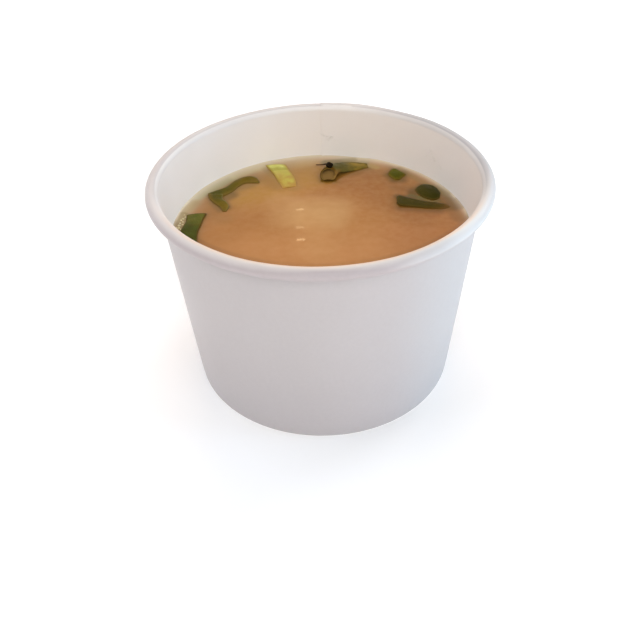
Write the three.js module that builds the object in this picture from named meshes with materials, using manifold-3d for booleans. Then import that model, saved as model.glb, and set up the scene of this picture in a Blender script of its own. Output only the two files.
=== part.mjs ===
// Miso soup in a white paper cup, with slices of scallion floating on it.
// Millimetres, +Z up. The origin is the centre of the foot, on the plane the cup stands on.
// The cup's glued side seam is at +Y.

import * as THREE from 'three';
import * as BufferGeometryUtils from 'three/addons/utils/BufferGeometryUtils.js';
import Module from 'manifold-3d';

// Driving dimensions of the cup
const CUP_HEIGHT = 60;
const RIM_RADIUS = 45; // outside of the rolled rim
const FOOT_RADIUS = 37.5; // outside of the foot
const PAPER = 0.5; // one layer of coated cup board
const CURL_RADIUS = 1.7; // outside of the rolled rim's section
const CURL_TURN = 300; // degrees that the rim is rolled through
const CURL_TIGHTENING = 0.35; // how far the curl's free end draws in
const HEM_HEIGHT = 6.5; // the wall's lower edge, folded up inside the foot
const FOLD_RADIUS = 0.45; // centre line of the two bends of that fold
const FLOOR_HEIGHT = 8; // top of the recessed floor
const FLOOR_BEND_RADIUS = 0.75; // centre line of the bend from floor to skirt
const SKIRT_LIFT = 0.9; // lower edge of the floor's skirt above the table
const GAP = 0.3; // clearance between neighbouring pieces
const ROUND_SEGMENTS = 56;

// Driving dimensions of the soup
const SOUP_LEVEL = 43.6;
const MENISCUS_HEIGHT = 0.8;
const MENISCUS_REACH = 1.1; // distance over which the climb at the wall falls to a third

// Driving dimensions of the scallion slices
const LEAF_THICKNESS = 0.7;
const SHAFT_THICKNESS = 1.0; // a layer of the pale lower stalk
const FLOAT_HEIGHT = -0.1; // middle of a floating slice against the soup's level
const BAND_COLUMNS = 4; // faces across a slice
const BAND_STATIONS = 10; // sections along a slice

const PAPER_WHITE = 0xdad5d2;
const BROTH_BROWN = 0xb9824f;
const LEAF_DARK = 0x40481b;
const LEAF_GREEN = 0x56642a;
const LEAF_BRIGHT = 0x57700f;
const SHAFT_PALE = 0xb7b253;

const wasm = await Module();
wasm.setup();

const radians = THREE.MathUtils.degToRad;

// ---- Meshes ----

// Joins shared corners and drops the faces that collapse on the axis of a turned shape.
function weld(geometry) {
  const bare = geometry.clone();
  bare.deleteAttribute('normal');
  bare.deleteAttribute('uv');
  const merged = BufferGeometryUtils.mergeVertices(bare, 1e-4);
  const index = merged.index.array;
  const kept = [];
  for (let i = 0; i < index.length; i += 3) {
    const [a, b, c] = [index[i], index[i + 1], index[i + 2]];
    if (a !== b && b !== c && c !== a) kept.push(a, b, c);
  }
  merged.setIndex(kept);
  return faceOutwards(merged);
}

function signedVolume(geometry) {
  const [a, b, c] = [new THREE.Vector3(), new THREE.Vector3(), new THREE.Vector3()];
  const { position } = geometry.attributes;
  const index = geometry.index.array;
  let volume = 0;
  for (let i = 0; i < index.length; i += 3) {
    a.fromBufferAttribute(position, index[i]);
    b.fromBufferAttribute(position, index[i + 1]);
    c.fromBufferAttribute(position, index[i + 2]);
    volume += a.dot(b.cross(c)) / 6;
  }
  return volume;
}

function faceOutwards(geometry) {
  if (signedVolume(geometry) > 0) return geometry;
  geometry.setIndex(Array.from(geometry.index.array).reverse());
  return geometry;
}

// Turns a closed outline of [radius, height] pairs round the Z axis.
function turned(outline) {
  const points = outline.map(([radius, height]) => new THREE.Vector2(radius, height));
  return weld(new THREE.LatheGeometry(points, ROUND_SEGMENTS).rotateX(Math.PI / 2));
}

// A closed skin through rings of corners. Each ring holds its upper row and then its lower row
// backwards. The rings either close into a loop or end in flat caps.
function skinned(rings, isLoop = false) {
  const corners = rings[0].length;
  const faces = [];
  const quad = (a, b, c, d) => faces.push(a, b, c, a, c, d);
  const spans = isLoop ? rings.length : rings.length - 1;
  for (let ring = 0; ring < spans; ring += 1) {
    const here = ring * corners;
    const there = ((ring + 1) % rings.length) * corners;
    for (let corner = 0; corner < corners; corner += 1) {
      const next = (corner + 1) % corners;
      quad(here + corner, here + next, there + next, there + corner);
    }
  }
  if (!isLoop) {
    const last = (rings.length - 1) * corners;
    for (let corner = 0; corner + 1 < corners / 2; corner += 1) {
      const under = corners - 1 - corner;
      quad(corner, under, under - 1, corner + 1);
      quad(last + corner, last + corner + 1, last + under - 1, last + under);
    }
  }
  const positions = rings.flat().flatMap((point) => point.toArray());
  const geometry = new THREE.BufferGeometry();
  geometry.setAttribute('position', new THREE.Float32BufferAttribute(positions, 3));
  geometry.setIndex(faces);
  return faceOutwards(geometry);
}

function toSolid(geometry) {
  const welded = weld(geometry);
  const vertProperties = new Float32Array(welded.attributes.position.array);
  const triVerts = new Uint32Array(welded.index.array);
  return new wasm.Manifold(new wasm.Mesh({ numProp: 3, vertProperties, triVerts }));
}

function toGeometry(solid) {
  const { vertProperties, triVerts } = solid.getMesh();
  const geometry = new THREE.BufferGeometry();
  geometry.setAttribute('position', new THREE.Float32BufferAttribute(vertProperties, 3));
  geometry.setIndex(Array.from(triVerts));
  return geometry;
}

// ---- The paper cup ----

const CURL_CENTRE = { radius: RIM_RADIUS - CURL_RADIUS, height: CUP_HEIGHT - CURL_RADIUS };

// The wall is straight from the foot to the start of the curl, which it meets inside.
function wallOutside(height) {
  const neckRadius = RIM_RADIUS - 2 * CURL_RADIUS + PAPER;
  return THREE.MathUtils.mapLinear(height, 0, CURL_CENTRE.height, FOOT_RADIUS, neckRadius);
}

const wallInside = (height) => wallOutside(height) - PAPER;
const skirtMiddle = (height) => wallInside(height) - GAP - PAPER / 2;
const hemMiddle = (height) => skirtMiddle(height) - PAPER - GAP;

// Points on an arc round a centre, from one angle to another, both in degrees.
function arc(centreRadius, centreHeight, radiusAt, from, to, steps) {
  return Array.from({ length: steps + 1 }, (_, step) => {
    const angle = radians(THREE.MathUtils.lerp(from, to, step / steps));
    const radius = radiusAt(step / steps);
    return [centreRadius + radius * Math.cos(angle), centreHeight + radius * Math.sin(angle)];
  });
}

// The side wall is one sheet: its lower edge is folded up inside, its upper edge rolled outwards.
// Each face of the sheet runs half the paper's thickness to one side of its centre line.
function sideWall() {
  const foldHeight = FOLD_RADIUS + PAPER / 2;
  const outsideReached = 180 / CURL_TURN; // the curl keeps its radius until it faces outwards
  const curlRadiusAt = (turn) => {
    const drawnIn = Math.max(0, (turn - outsideReached) / (1 - outsideReached));
    return CURL_RADIUS - PAPER / 2 - CURL_TIGHTENING * drawnIn;
  };
  const { radius, height } = CURL_CENTRE;
  const face = (side) => {
    const offset = (side * PAPER) / 2;
    const fold = () => FOLD_RADIUS + offset;
    const curl = (turn) => curlRadiusAt(turn) - offset;
    return [
      [hemMiddle(HEM_HEIGHT) - offset, HEM_HEIGHT],
      ...arc(hemMiddle(0) + FOLD_RADIUS, foldHeight, fold, 180, 270, 2),
      ...arc(wallOutside(0) - PAPER / 2 - FOLD_RADIUS, foldHeight, fold, 270, 360, 2),
      ...arc(radius, height, curl, 180, 180 - CURL_TURN, 10),
    ];
  };
  const outline = [...face(1), ...face(-1).reverse()];
  return turned([...outline, outline[0]]);
}

// The floor is a disc with its edge turned down into a skirt, held between wall and hem.
function bottomDisc() {
  const floorMiddle = FLOOR_HEIGHT - PAPER / 2;
  const bendHeight = floorMiddle - FLOOR_BEND_RADIUS;
  const bendRadius = skirtMiddle(bendHeight) - FLOOR_BEND_RADIUS;
  const corner = (radius) => arc(bendRadius, bendHeight, () => radius, 90, 0, 3);
  const skirtEnd = skirtMiddle(SKIRT_LIFT);
  return turned([
    [0, FLOOR_HEIGHT],
    ...corner(FLOOR_BEND_RADIUS + PAPER / 2),
    [skirtEnd + PAPER / 2, SKIRT_LIFT],
    [skirtEnd - PAPER / 2, SKIRT_LIFT],
    ...corner(FLOOR_BEND_RADIUS - PAPER / 2).reverse(),
    [0, FLOOR_HEIGHT - PAPER],
  ]);
}

// ---- The scallion slices ----

// A band of leaf along a route of [x, y, lift] points, arched across and cut square at its ends.
// grow swells it on every side, which gives the hollow that it floats in.
function leafBand({ route, widths, thickness = LEAF_THICKNESS, arch = 0 }, grow = 0) {
  const points = route.map(([x, y, lift = 0]) => (
    new THREE.Vector3(x, y, SOUP_LEVEL + FLOAT_HEIGHT + lift)));
  const spine = new THREE.CatmullRomCurve3(points);
  const widthAt = (along) => {
    const place = along * (widths.length - 1);
    const before = Math.min(Math.floor(place), widths.length - 2);
    return THREE.MathUtils.lerp(widths[before], widths[before + 1], place - before);
  };
  const rings = Array.from({ length: BAND_STATIONS + 1 }, (_, station) => {
    const along = station / BAND_STATIONS;
    const middle = spine.getPointAt(along);
    const tangent = spine.getTangentAt(along);
    const across = new THREE.Vector3(tangent.y, -tangent.x, 0).normalize();
    const normal = new THREE.Vector3().crossVectors(across, tangent);
    if (station === 0) middle.addScaledVector(tangent, -grow);
    if (station === BAND_STATIONS) middle.addScaledVector(tangent, grow);
    const row = (side) => Array.from({ length: BAND_COLUMNS + 1 }, (__, column) => {
      const place = (2 * column) / BAND_COLUMNS - 1;
      const rise = arch * (1 - place * place) + side * (thickness / 2 + grow);
      return middle.clone()
        .addScaledVector(across, place * (widthAt(along) / 2 + grow))
        .addScaledVector(normal, rise);
    });
    return [...row(1), ...row(-1).reverse()];
  });
  return skinned(rings);
}

// A length of hollow leaf lying on its side, squashed to an oval. Its mouth is cut at a slant, so
// that the lower lip stands out further, and it narrows to its far end.
function leafTube({ centre, turn, length, width, height, slant, taper }, grow = 0) {
  const thickness = LEAF_THICKNESS;
  const stations = 4;
  const ringCount = 20;
  const rings = Array.from({ length: ringCount }, (_, ring) => {
    const angle = (2 * Math.PI * ring) / ringCount;
    const mouth = -length / 2 + slant * Math.sin(angle) - grow;
    const tail = length / 2 + grow;
    const row = (inset) => Array.from({ length: stations + 1 }, (__, station) => {
      const along = station / stations;
      const narrowing = 1 - taper * along;
      return new THREE.Vector3(
        THREE.MathUtils.lerp(mouth, tail, along),
        ((width / 2) * narrowing - inset) * Math.cos(angle),
        ((height / 2) * narrowing - inset) * Math.sin(angle),
      );
    });
    return [...row(-grow), ...row(thickness * 0.8 + grow).reverse()];
  });
  const [x, y, lift] = centre;
  return skinned(rings, true).rotateZ(radians(turn)).translate(x, y, SOUP_LEVEL + lift);
}

// A round of leaf, dished like a shallow saucer and tipped so that one side sinks.
function leafRound({ centre, radius, stretch, dish, tip, turn }, grow = 0) {
  const half = LEAF_THICKNESS / 2 + grow;
  const reach = radius + grow;
  const steps = 3;
  const face = (side) => Array.from({ length: steps + 1 }, (_, step) => {
    const out = (reach * step) / steps;
    return [out, dish * (out / radius) ** 2 + side * half];
  });
  const [x, y, lift] = centre;
  const points = [...face(1), ...face(-1).reverse()].map(([out, up]) => new THREE.Vector2(out, up));
  return weld(new THREE.LatheGeometry(points, 20).rotateX(Math.PI / 2))
    .scale(1, stretch, 1)
    .rotateY(radians(tip))
    .rotateZ(radians(turn))
    .translate(x, y, SOUP_LEVEL + lift);
}

// Two bands of one slice, grown together where it folds.
function foldedBand([first, second], grow = 0) {
  return toGeometry(toSolid(leafBand(first, grow)).add(toSolid(leafBand(second, grow))));
}

const SCALLIONS = [
  {
    // a flat leaf along the wall, with square ends
    name: 'scallion_leaf',
    colour: LEAF_GREEN,
    build: leafBand,
    size: {
      route: [[-34.8, 8.0], [-35.5, 1.2], [-35.6, -8.2]],
      widths: [4.9, 4.9, 4.7],
      arch: 0.35,
    },
  },
  {
    // a curled shred that folds back on itself
    name: 'scallion_shred',
    colour: LEAF_DARK,
    build: foldedBand,
    size: [
      {
        route: [[-18.4, 25.0, -0.2], [-20.0, 27.3], [-22.6, 27.2], [-26.0, 23.8], [-28.8, 20.6], [-31.9, 18.2]],
        widths: [1.2, 2.4, 2.8, 2.6, 2.8, 2.4],
        arch: 0.3,
      },
      {
        route: [[-31.9, 19.4], [-30.9, 16.6], [-28.3, 13.8], [-27.0, 11.2], [-27.5, 8.2, -0.2]],
        widths: [2.6, 3.4, 2.8, 2.0, 0.8],
        arch: 0.3,
      },
    ],
  },
  {
    // a gutter-shaped layer of the pale shaft, its inner end sinking
    name: 'scallion_stalk',
    colour: SHAFT_PALE,
    build: leafBand,
    size: {
      route: [[-13.5, 35.2, 0.1], [-11.4, 28.6], [-9.2, 21.6, -0.15]],
      widths: [5.4, 5.4, 4.4],
      thickness: SHAFT_THICKNESS,
      arch: 0.6,
    },
  },
  {
    // a length of hollow leaf with an open mouth
    name: 'scallion_tube',
    colour: LEAF_GREEN,
    build: leafTube,
    size: {
      centre: [7.6, 32.0, 0.35],
      turn: 25,
      length: 12,
      width: 6.2,
      height: 3.0,
      slant: 1.6,
      taper: 0.3,
    },
  },
  {
    // a small bright chip of leaf
    name: 'scallion_chip',
    colour: LEAF_BRIGHT,
    build: leafBand,
    size: {
      route: [[23.1, 30.8], [23.4, 28.1], [23.3, 25.4, -0.1]],
      widths: [3.0, 4.6, 3.0],
      arch: 0.5,
    },
  },
  {
    // a round of leaf with its inner side under the surface
    name: 'scallion_round',
    colour: LEAF_DARK,
    build: leafRound,
    size: {
      centre: [31.4, 17.1, -0.2],
      radius: 3.5,
      stretch: 1.08,
      dish: 0.4,
      tip: -4,
      turn: 10,
    },
  },
  {
    // a long flattened strip, its outer end sinking
    name: 'scallion_strip',
    colour: LEAF_DARK,
    build: leafBand,
    size: {
      route: [[22.0, 12.2], [28.5, 10.5], [35.6, 8.2, -0.2]],
      widths: [4.6, 3.9, 2.8],
      arch: 0.4,
    },
  },
];

// ---- The soup ----

// The liquid fills the cup above the floor, climbs a little where it meets the wall, and is cut
// round everything that floats in it.
function broth() {
  const side = (height) => wallInside(height) - GAP;
  const floor = FLOOR_HEIGHT + GAP;
  const shore = side(SOUP_LEVEL + MENISCUS_HEIGHT);
  const climb = [0, 0.6, 1.4, 2.6].map((inwards) => [
    shore - inwards,
    SOUP_LEVEL + MENISCUS_HEIGHT * Math.exp(-inwards / MENISCUS_REACH),
  ]);
  const flatFrom = shore - 4.5;
  let liquid = toSolid(turned([
    [0, floor],
    [side(floor), floor],
    ...climb,
    [flatFrom, SOUP_LEVEL],
    [0, SOUP_LEVEL],
  ]));
  for (const { build, size } of SCALLIONS) {
    liquid = liquid.subtract(toSolid(build(size, GAP)));
  }
  return toGeometry(liquid);
}

// ---- Assembly ----

function piece(name, geometry, color, roughness) {
  const mesh = new THREE.Mesh(
    geometry,
    new THREE.MeshStandardMaterial({ color, roughness, metalness: 0 }),
  );
  mesh.name = name;
  return mesh;
}

const misoSoup = new THREE.Group();
misoSoup.add(piece('side_wall', sideWall(), PAPER_WHITE, 0.55));
misoSoup.add(piece('bottom_disc', bottomDisc(), PAPER_WHITE, 0.55));
misoSoup.add(piece('broth', broth(), BROTH_BROWN, 0.15));
for (const { name, colour, build, size } of SCALLIONS) {
  misoSoup.add(piece(name, build(size), colour, 0.35));
}

export default misoSoup;
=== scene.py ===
import math

import bmesh
import bpy
import numpy as np
from mathutils import Matrix, Vector, noise


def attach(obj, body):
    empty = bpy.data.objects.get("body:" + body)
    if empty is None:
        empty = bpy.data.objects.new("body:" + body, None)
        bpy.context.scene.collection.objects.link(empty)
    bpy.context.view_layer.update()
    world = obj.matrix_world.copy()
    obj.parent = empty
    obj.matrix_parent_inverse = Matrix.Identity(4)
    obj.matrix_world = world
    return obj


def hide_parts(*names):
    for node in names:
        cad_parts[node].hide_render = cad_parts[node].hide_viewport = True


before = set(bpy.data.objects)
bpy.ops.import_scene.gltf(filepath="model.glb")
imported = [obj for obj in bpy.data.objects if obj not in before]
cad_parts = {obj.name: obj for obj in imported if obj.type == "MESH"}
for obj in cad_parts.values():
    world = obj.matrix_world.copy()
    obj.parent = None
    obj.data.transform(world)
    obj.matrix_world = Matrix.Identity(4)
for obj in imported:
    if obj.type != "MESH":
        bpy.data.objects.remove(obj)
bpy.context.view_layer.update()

# Sizes are in millimetres and become metres where a mesh is made.
MM = 0.001

# ---- Sizes of the paper cup ----

CUP_HEIGHT = 60.0
RIM_RADIUS = 45.0
FOOT_RADIUS = 37.5
PAPER = 0.5
CURL_RADIUS = 1.7
CURL_TURN = 300.0
CURL_TIGHTENING = 0.35
CURL_CENTRE = (RIM_RADIUS - CURL_RADIUS, CUP_HEIGHT - CURL_RADIUS)
HEM_HEIGHT = 6.5
FOLD_RADIUS = 0.45
FLOOR_HEIGHT = 8.0
FLOOR_BEND = 0.75
SKIRT_LIFT = 0.9
GAP = 0.3
COLUMNS_AROUND = 240
LAP_START = 1.35
LAP_END = 15.4
LAP_STEP = 0.2
LAP_EDGE = 0.12
LAP_FADE = 16.0

# ---- Sizes of the soup ----

SOUP_LEVEL = 43.6
MENISCUS_HEIGHT = 0.8
MENISCUS_REACH = 1.1


# ---- Small helpers for hand modelling ----


def deselect():
    """Back to object mode with nothing selected."""
    if bpy.context.mode != "OBJECT":
        bpy.ops.object.mode_set(mode="OBJECT")
    bpy.ops.object.select_all(action="DESELECT")


def take(piece):
    """Makes a piece the only one selected."""
    deselect()
    bpy.context.view_layer.objects.active = piece
    piece.select_set(True)


def edit(piece):
    """Opens a piece for editing with nothing selected in it."""
    take(piece)
    bpy.ops.object.mode_set(mode="EDIT")
    bpy.ops.mesh.select_mode(type="VERT")
    bpy.ops.mesh.select_all(action="DESELECT")


def pick(piece, wanted):
    """Selects the vertices that pass a test, and the faces between them."""
    mesh = bmesh.from_edit_mesh(piece.data)
    mesh.verts.index_update()
    for vertex in mesh.verts:
        vertex.select_set(bool(wanted(vertex)))
    mesh.select_flush(True)
    bmesh.update_edit_mesh(piece.data)


def pick_open_edges(piece):
    """Opens a piece for editing with the edges round its holes selected."""
    edit(piece)
    bpy.ops.mesh.select_mode(type="EDGE")
    bpy.ops.mesh.select_non_manifold(
        extend=False, use_wire=False, use_boundary=True, use_multi_face=False, use_non_contiguous=False
    )


def settle(piece):
    """Puts a piece's place, turn and size into its mesh, so that it sits at the origin."""
    take(piece)
    bpy.ops.object.transform_apply(location=True, rotation=True, scale=True)


def face_outwards(piece):
    """Merges doubled corners and turns every face outwards."""
    edit(piece)
    bpy.ops.mesh.select_all(action="SELECT")
    bpy.ops.mesh.remove_doubles(threshold=0.002 * MM)
    bpy.ops.mesh.normals_make_consistent(inside=False)
    deselect()


def smooth(piece, angle=40):
    """Shades a piece smooth, but for edges sharper than the angle."""
    take(piece)
    bpy.ops.object.shade_smooth_by_angle(angle=math.radians(angle))


def modify(piece, kind, **settings):
    """Adds a modifier with its settings and applies it."""
    take(piece)
    modifier = piece.modifiers.new(kind.lower(), kind)
    for setting, value in settings.items():
        setattr(modifier, setting, value)
    bpy.ops.object.modifier_apply(modifier=modifier.name)


def roughen(piece, strength, size):
    """Makes a surface uneven: bumps of a given height, a given distance apart, in millimetres."""
    texture = bpy.data.textures.new(piece.name + " unevenness", "CLOUDS")
    texture.noise_scale = size * MM
    texture.noise_depth = 1
    modify(piece, "DISPLACE", texture=texture, strength=strength * MM, texture_coords="LOCAL", mid_level=0.5)


def ease_edges(piece, width):
    """Rounds a slice's cut edges by a width in millimetres."""
    modify(piece, "BEVEL", width=width * MM, segments=2, limit_method="ANGLE", angle_limit=math.radians(50))


def copy_of(first):
    """A copy of a piece with its own mesh."""
    piece = first.copy()
    piece.data = first.data.copy()
    bpy.context.scene.collection.objects.link(piece)
    return piece


def store(piece, name, values):
    """Stores a number, or three, on every vertex for the materials to read."""
    values = np.array(values, np.float32)
    kind, field = ("FLOAT", "value") if values.ndim == 1 else ("FLOAT_VECTOR", "vector")
    piece.data.attributes.new(name, kind, "POINT").data.foreach_set(field, values.ravel())


def complete(piece, name, node, material):
    """Names a finished piece, gives it its material, hangs it under the root body and hides the CAD node it
    stands for.
    """
    settle(piece)
    piece.name = name
    piece.data.name = name
    piece.data.materials.clear()
    piece.data.materials.append(material)
    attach(piece, "root")
    if node:
        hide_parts(node)
    return piece


# ---- Materials ----


def tint(red, green, blue):
    """A colour from the usual 0 to 255 numbers, as the shader's own linear values."""
    parts = []
    for part in (red, green, blue):
        share = part / 255
        parts.append(share / 12.92 if share <= 0.04045 else ((share + 0.055) / 1.055) ** 2.4)
    return (*parts, 1.0)


def feed(tree, value, socket):
    """Feeds a socket from another socket, or gives it a plain value."""
    if isinstance(value, bpy.types.NodeSocket):
        tree.links.new(value, socket)
    else:
        socket.default_value = value


def node(tree, kind, inputs=None, **settings):
    """Adds a node. Each input is given a value, or the socket that feeds it."""
    made = tree.nodes.new(kind)
    for setting, value in settings.items():
        setattr(made, setting, value)
    for socket, value in (inputs or {}).items():
        feed(tree, value, made.inputs[socket])
    return made


def sum_of(tree, operation, first, second=0.0):
    """The result of one sum on two numbers."""
    return node(tree, "ShaderNodeMath", {0: first, 1: second}, operation=operation).outputs[0]


def times(tree, first, second):
    """Two numbers multiplied."""
    return sum_of(tree, "MULTIPLY", first, second)


def fade_away(tree, distance, reach):
    """A share that is 1 at no distance and falls off with it. The reach is negative."""
    return sum_of(tree, "EXPONENT", sum_of(tree, "DIVIDE", distance, reach))


def vector_sum(tree, operation, first, second=(0.0, 0.0, 0.0)):
    """The result of one sum on two vectors."""
    made = node(tree, "ShaderNodeVectorMath", {0: first, 1: second}, operation=operation)
    return made.outputs["Value" if operation in ("LENGTH", "DOT_PRODUCT") else "Vector"]


def scaled(tree, vector, factor):
    """A vector made longer or shorter."""
    return node(tree, "ShaderNodeVectorMath", {0: vector, "Scale": factor}, operation="SCALE").outputs[0]


def split(tree, vector):
    """The three parts of a vector, by their names X, Y and Z."""
    return node(tree, "ShaderNodeSeparateXYZ", {"Vector": vector}).outputs


def ramp(tree, value, low, high, start=0.0, end=1.0):
    """A number carried smoothly from one range to another, and held at its ends."""
    inputs = {"Value": value, "From Min": low, "From Max": high, "To Min": start, "To Max": end}
    return node(tree, "ShaderNodeMapRange", inputs, interpolation_type="SMOOTHSTEP").outputs["Result"]


def noise_at(tree, vector, scale, detail):
    """Cloudy noise from 0 to 1."""
    inputs = {"Vector": vector, "Scale": scale, "Detail": detail}
    return node(tree, "ShaderNodeTexNoise", inputs).outputs["Fac"]


def stored(tree, name, output="Fac"):
    """A value that was stored on the mesh's vertices."""
    return node(tree, "ShaderNodeAttribute", attribute_name=name).outputs[output]


def blend_colours(tree, share, first, second, way="MIX"):
    """One colour laid over another, by a share from 0 to 1."""
    mix = node(tree, "ShaderNodeMix", data_type="RGBA", blend_type=way)
    for socket, value in zip((mix.inputs[0], mix.inputs[6], mix.inputs[7]), (share, first, second)):
        feed(tree, value, socket)
    return mix.outputs[2]


def darken(tree, share, colour, shade):
    """A colour multiplied by a shade, by a share from 0 to 1."""
    return blend_colours(tree, share, colour, shade, "MULTIPLY")


def new_group(name, **inputs):
    """An empty node group with named inputs and one mask. Returns the group and its two ends."""
    group = bpy.data.node_groups.new(name, "ShaderNodeTree")
    for label, value in inputs.items():
        kind = "NodeSocketVector" if isinstance(value, tuple) else "NodeSocketFloat"
        group.interface.new_socket(name=label, in_out="INPUT", socket_type=kind).default_value = value
    group.interface.new_socket(name="Mask", in_out="OUTPUT", socket_type="NodeSocketFloat")
    start = group.nodes.new("NodeGroupInput").outputs
    return group, start, group.nodes.new("NodeGroupOutput").inputs["Mask"]


ORIGIN = (0.0, 0.0, 0.0)


def mottle_group():
    """Soft blotches: Size is the distance between them in millimetres, Contrast how sharp they are."""
    group, start, end = new_group("soft mottle", Vector=ORIGIN, Size=5.0, Detail=2.0, Contrast=2.0)
    scale = sum_of(group, "DIVIDE", 1.0 / MM, start["Size"])
    cloud = noise_at(group, start["Vector"], scale, start["Detail"])
    half = sum_of(group, "DIVIDE", 0.5, start["Contrast"])
    low = sum_of(group, "SUBTRACT", 0.5, half)
    high = sum_of(group, "ADD", 0.5, half)
    group.links.new(ramp(group, cloud, low, high), end)
    return group


def stroke_group():
    """A soft-edged stroke between two places on the soup, all in millimetres."""
    ends = {"Vector": ORIGIN, "From": ORIGIN, "To": (1.0, 0.0, 0.0)}
    group, start, end = new_group("sunk stroke", **ends, Radius=1.0, Softness=1.0)
    place = vector_sum(group, "SUBTRACT", start["Vector"], start["From"])
    stroke = vector_sum(group, "SUBTRACT", start["To"], start["From"])
    along = vector_sum(group, "DOT_PRODUCT", place, stroke)
    length = vector_sum(group, "DOT_PRODUCT", stroke, stroke)
    share = sum_of(group, "DIVIDE", along, length)
    held = node(group, "ShaderNodeClamp", {"Value": share}).outputs["Result"]
    off_stroke = vector_sum(group, "SUBTRACT", place, scaled(group, stroke, held))
    distance = vector_sum(group, "LENGTH", off_stroke)
    outer = sum_of(group, "ADD", start["Radius"], start["Softness"])
    group.links.new(ramp(group, distance, start["Radius"], outer, 1.0, 0.0), end)
    return group


def ribs_group():
    """Fine ribs that run along a leaf, from its Grain: share along, millimetres across."""
    group, start, end = new_group("leaf ribs", Grain=ORIGIN, Spacing=0.45, Waver=0.6)
    shift = times(group, noise_at(group, start["Grain"], 1.7, 2.0), start["Waver"])
    across = sum_of(group, "ADD", split(group, start["Grain"])["Y"], shift)
    turns = times(group, sum_of(group, "DIVIDE", across, start["Spacing"]), 2 * math.pi)
    wave = {0: sum_of(group, "SINE", turns), 1: 0.5, 2: 0.5}
    group.links.new(node(group, "ShaderNodeMath", wave, operation="MULTIPLY_ADD").outputs[0], end)
    return group


MOTTLE = mottle_group()
STROKE = stroke_group()
RIBS = ribs_group()


def use_group(tree, group, **inputs):
    """Places a shared effect with its own values, and returns its mask."""
    made = tree.nodes.new("ShaderNodeGroup")
    made.node_tree = group
    for socket, value in inputs.items():
        feed(tree, value, made.inputs[socket])
    return made.outputs["Mask"]


def mottle(tree, place, size, detail, contrast):
    """Soft blotches a given distance apart, in millimetres."""
    return use_group(tree, MOTTLE, Vector=place, Size=size, Detail=detail, Contrast=contrast)


def new_material(name, roughness, **values):
    """A material with plain shader values set on the shader's own sockets."""
    material = bpy.data.materials.new(name)
    material.use_nodes = True
    tree = material.node_tree
    shader = tree.nodes["Principled BSDF"].inputs
    shader["Roughness"].default_value = roughness
    for socket, value in values.items():
        shader[socket.replace("_", " ")].default_value = value
    return material, tree, shader


def object_place(tree):
    """Where a point is on the whole object, in metres."""
    return node(tree, "ShaderNodeTexCoord").outputs["Object"]


def in_millimetres(tree, place):
    """A place in millimetres: its three parts by name, and the place laid flat."""
    spot = scaled(tree, place, 1 / MM)
    return split(tree, spot), vector_sum(tree, "MULTIPLY", spot, (1.0, 1.0, 0.0))


def add_bump(tree, shader, height, depth):
    """Fine relief of a given depth in millimetres."""
    bump = node(tree, "ShaderNodeBump", {"Height": height, "Distance": depth * MM, "Strength": 1.0})
    feed(tree, bump.outputs["Normal"], shader["Normal"])


# The outer paper's tone, a little warm: painted warm light on the left and in front
PAPER_OUTSIDE = tint(195, 189, 189)
# Painted bluish light on the cup's right side
PAPER_COOL_LIGHT = tint(200, 200, 202)
# Painted warm cast, a little pink, under the rim
PAPER_BEAD_WARM_LIGHT = tint(252, 246, 247)
# Painted warm highlight along the near lip
PAPER_LIP_HIGHLIGHT = tint(254, 235, 219)
# Painted cool light over the rim on the right
PAPER_RIM_COOL_LIGHT = tint(243, 249, 255)
# Painted shade on the rim's inner slope
PAPER_RIM_SLOPE_SHADE = tint(228, 228, 230)
PAPER_LINING = tint(252, 248, 242)
# Painted shade that greys the outer wall towards the foot
PAPER_FOOT_SHADE = tint(246, 245, 246)
PAPER_CLOUD = tint(253, 253, 253)
PAPER_FLECK = tint(240, 238, 236)
FLECK_STRENGTH = 0.045
FIBRE_RELIEF = 0.007

# Where the paper's tones and its painted light and shade change, in millimetres across, towards the back, up
# or out from the axis
COOL_LIGHT_SIDE = (14.0, 34.0)
FOOT_SHADE_HEIGHTS = (0.0, 40.0)
WARM_LIGHT_UNDER_RIM = (56.0, 57.2)
NEAR_LIP_HIGHLIGHT = (-35.0, -12.0)
LIP_HIGHLIGHT_HEIGHT = (58.0, 59.4)
RIM_CREST = (42.7, 43.9)
COOL_LIGHT_RIM = (8.0, 26.0)
RIM_SLOPE_HEIGHT = (58.2, 58.9)
RIM_SLOPE_REACH = (41.9, 43.6)
SLOPE_ON_RIGHT = (8.0, 34.0)
SLOPE_ON_LEFT = (-34.0, -8.0)
SLOPE_BEHIND = (-22.0, -8.0)


def paper_outside(tree, spot):
    """The outer face, with painted light and shade: warm on the left and in front and cool on the right for
    the light that falls there, painted shade greying the foot, a painted warm cast a little pink under the
    rim.
    """
    cool = ramp(tree, spot["X"], *COOL_LIGHT_SIDE)
    colour = blend_colours(tree, cool, PAPER_OUTSIDE, PAPER_COOL_LIGHT)
    colour = darken(tree, ramp(tree, spot["Z"], *FOOT_SHADE_HEIGHTS, 1.0, 0.0), colour, PAPER_FOOT_SHADE)
    warm = sum_of(tree, "SUBTRACT", 1.0, cool)
    return darken(tree, times(tree, ramp(tree, spot["Z"], *WARM_LIGHT_UNDER_RIM), warm), colour, PAPER_BEAD_WARM_LIGHT)


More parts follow.
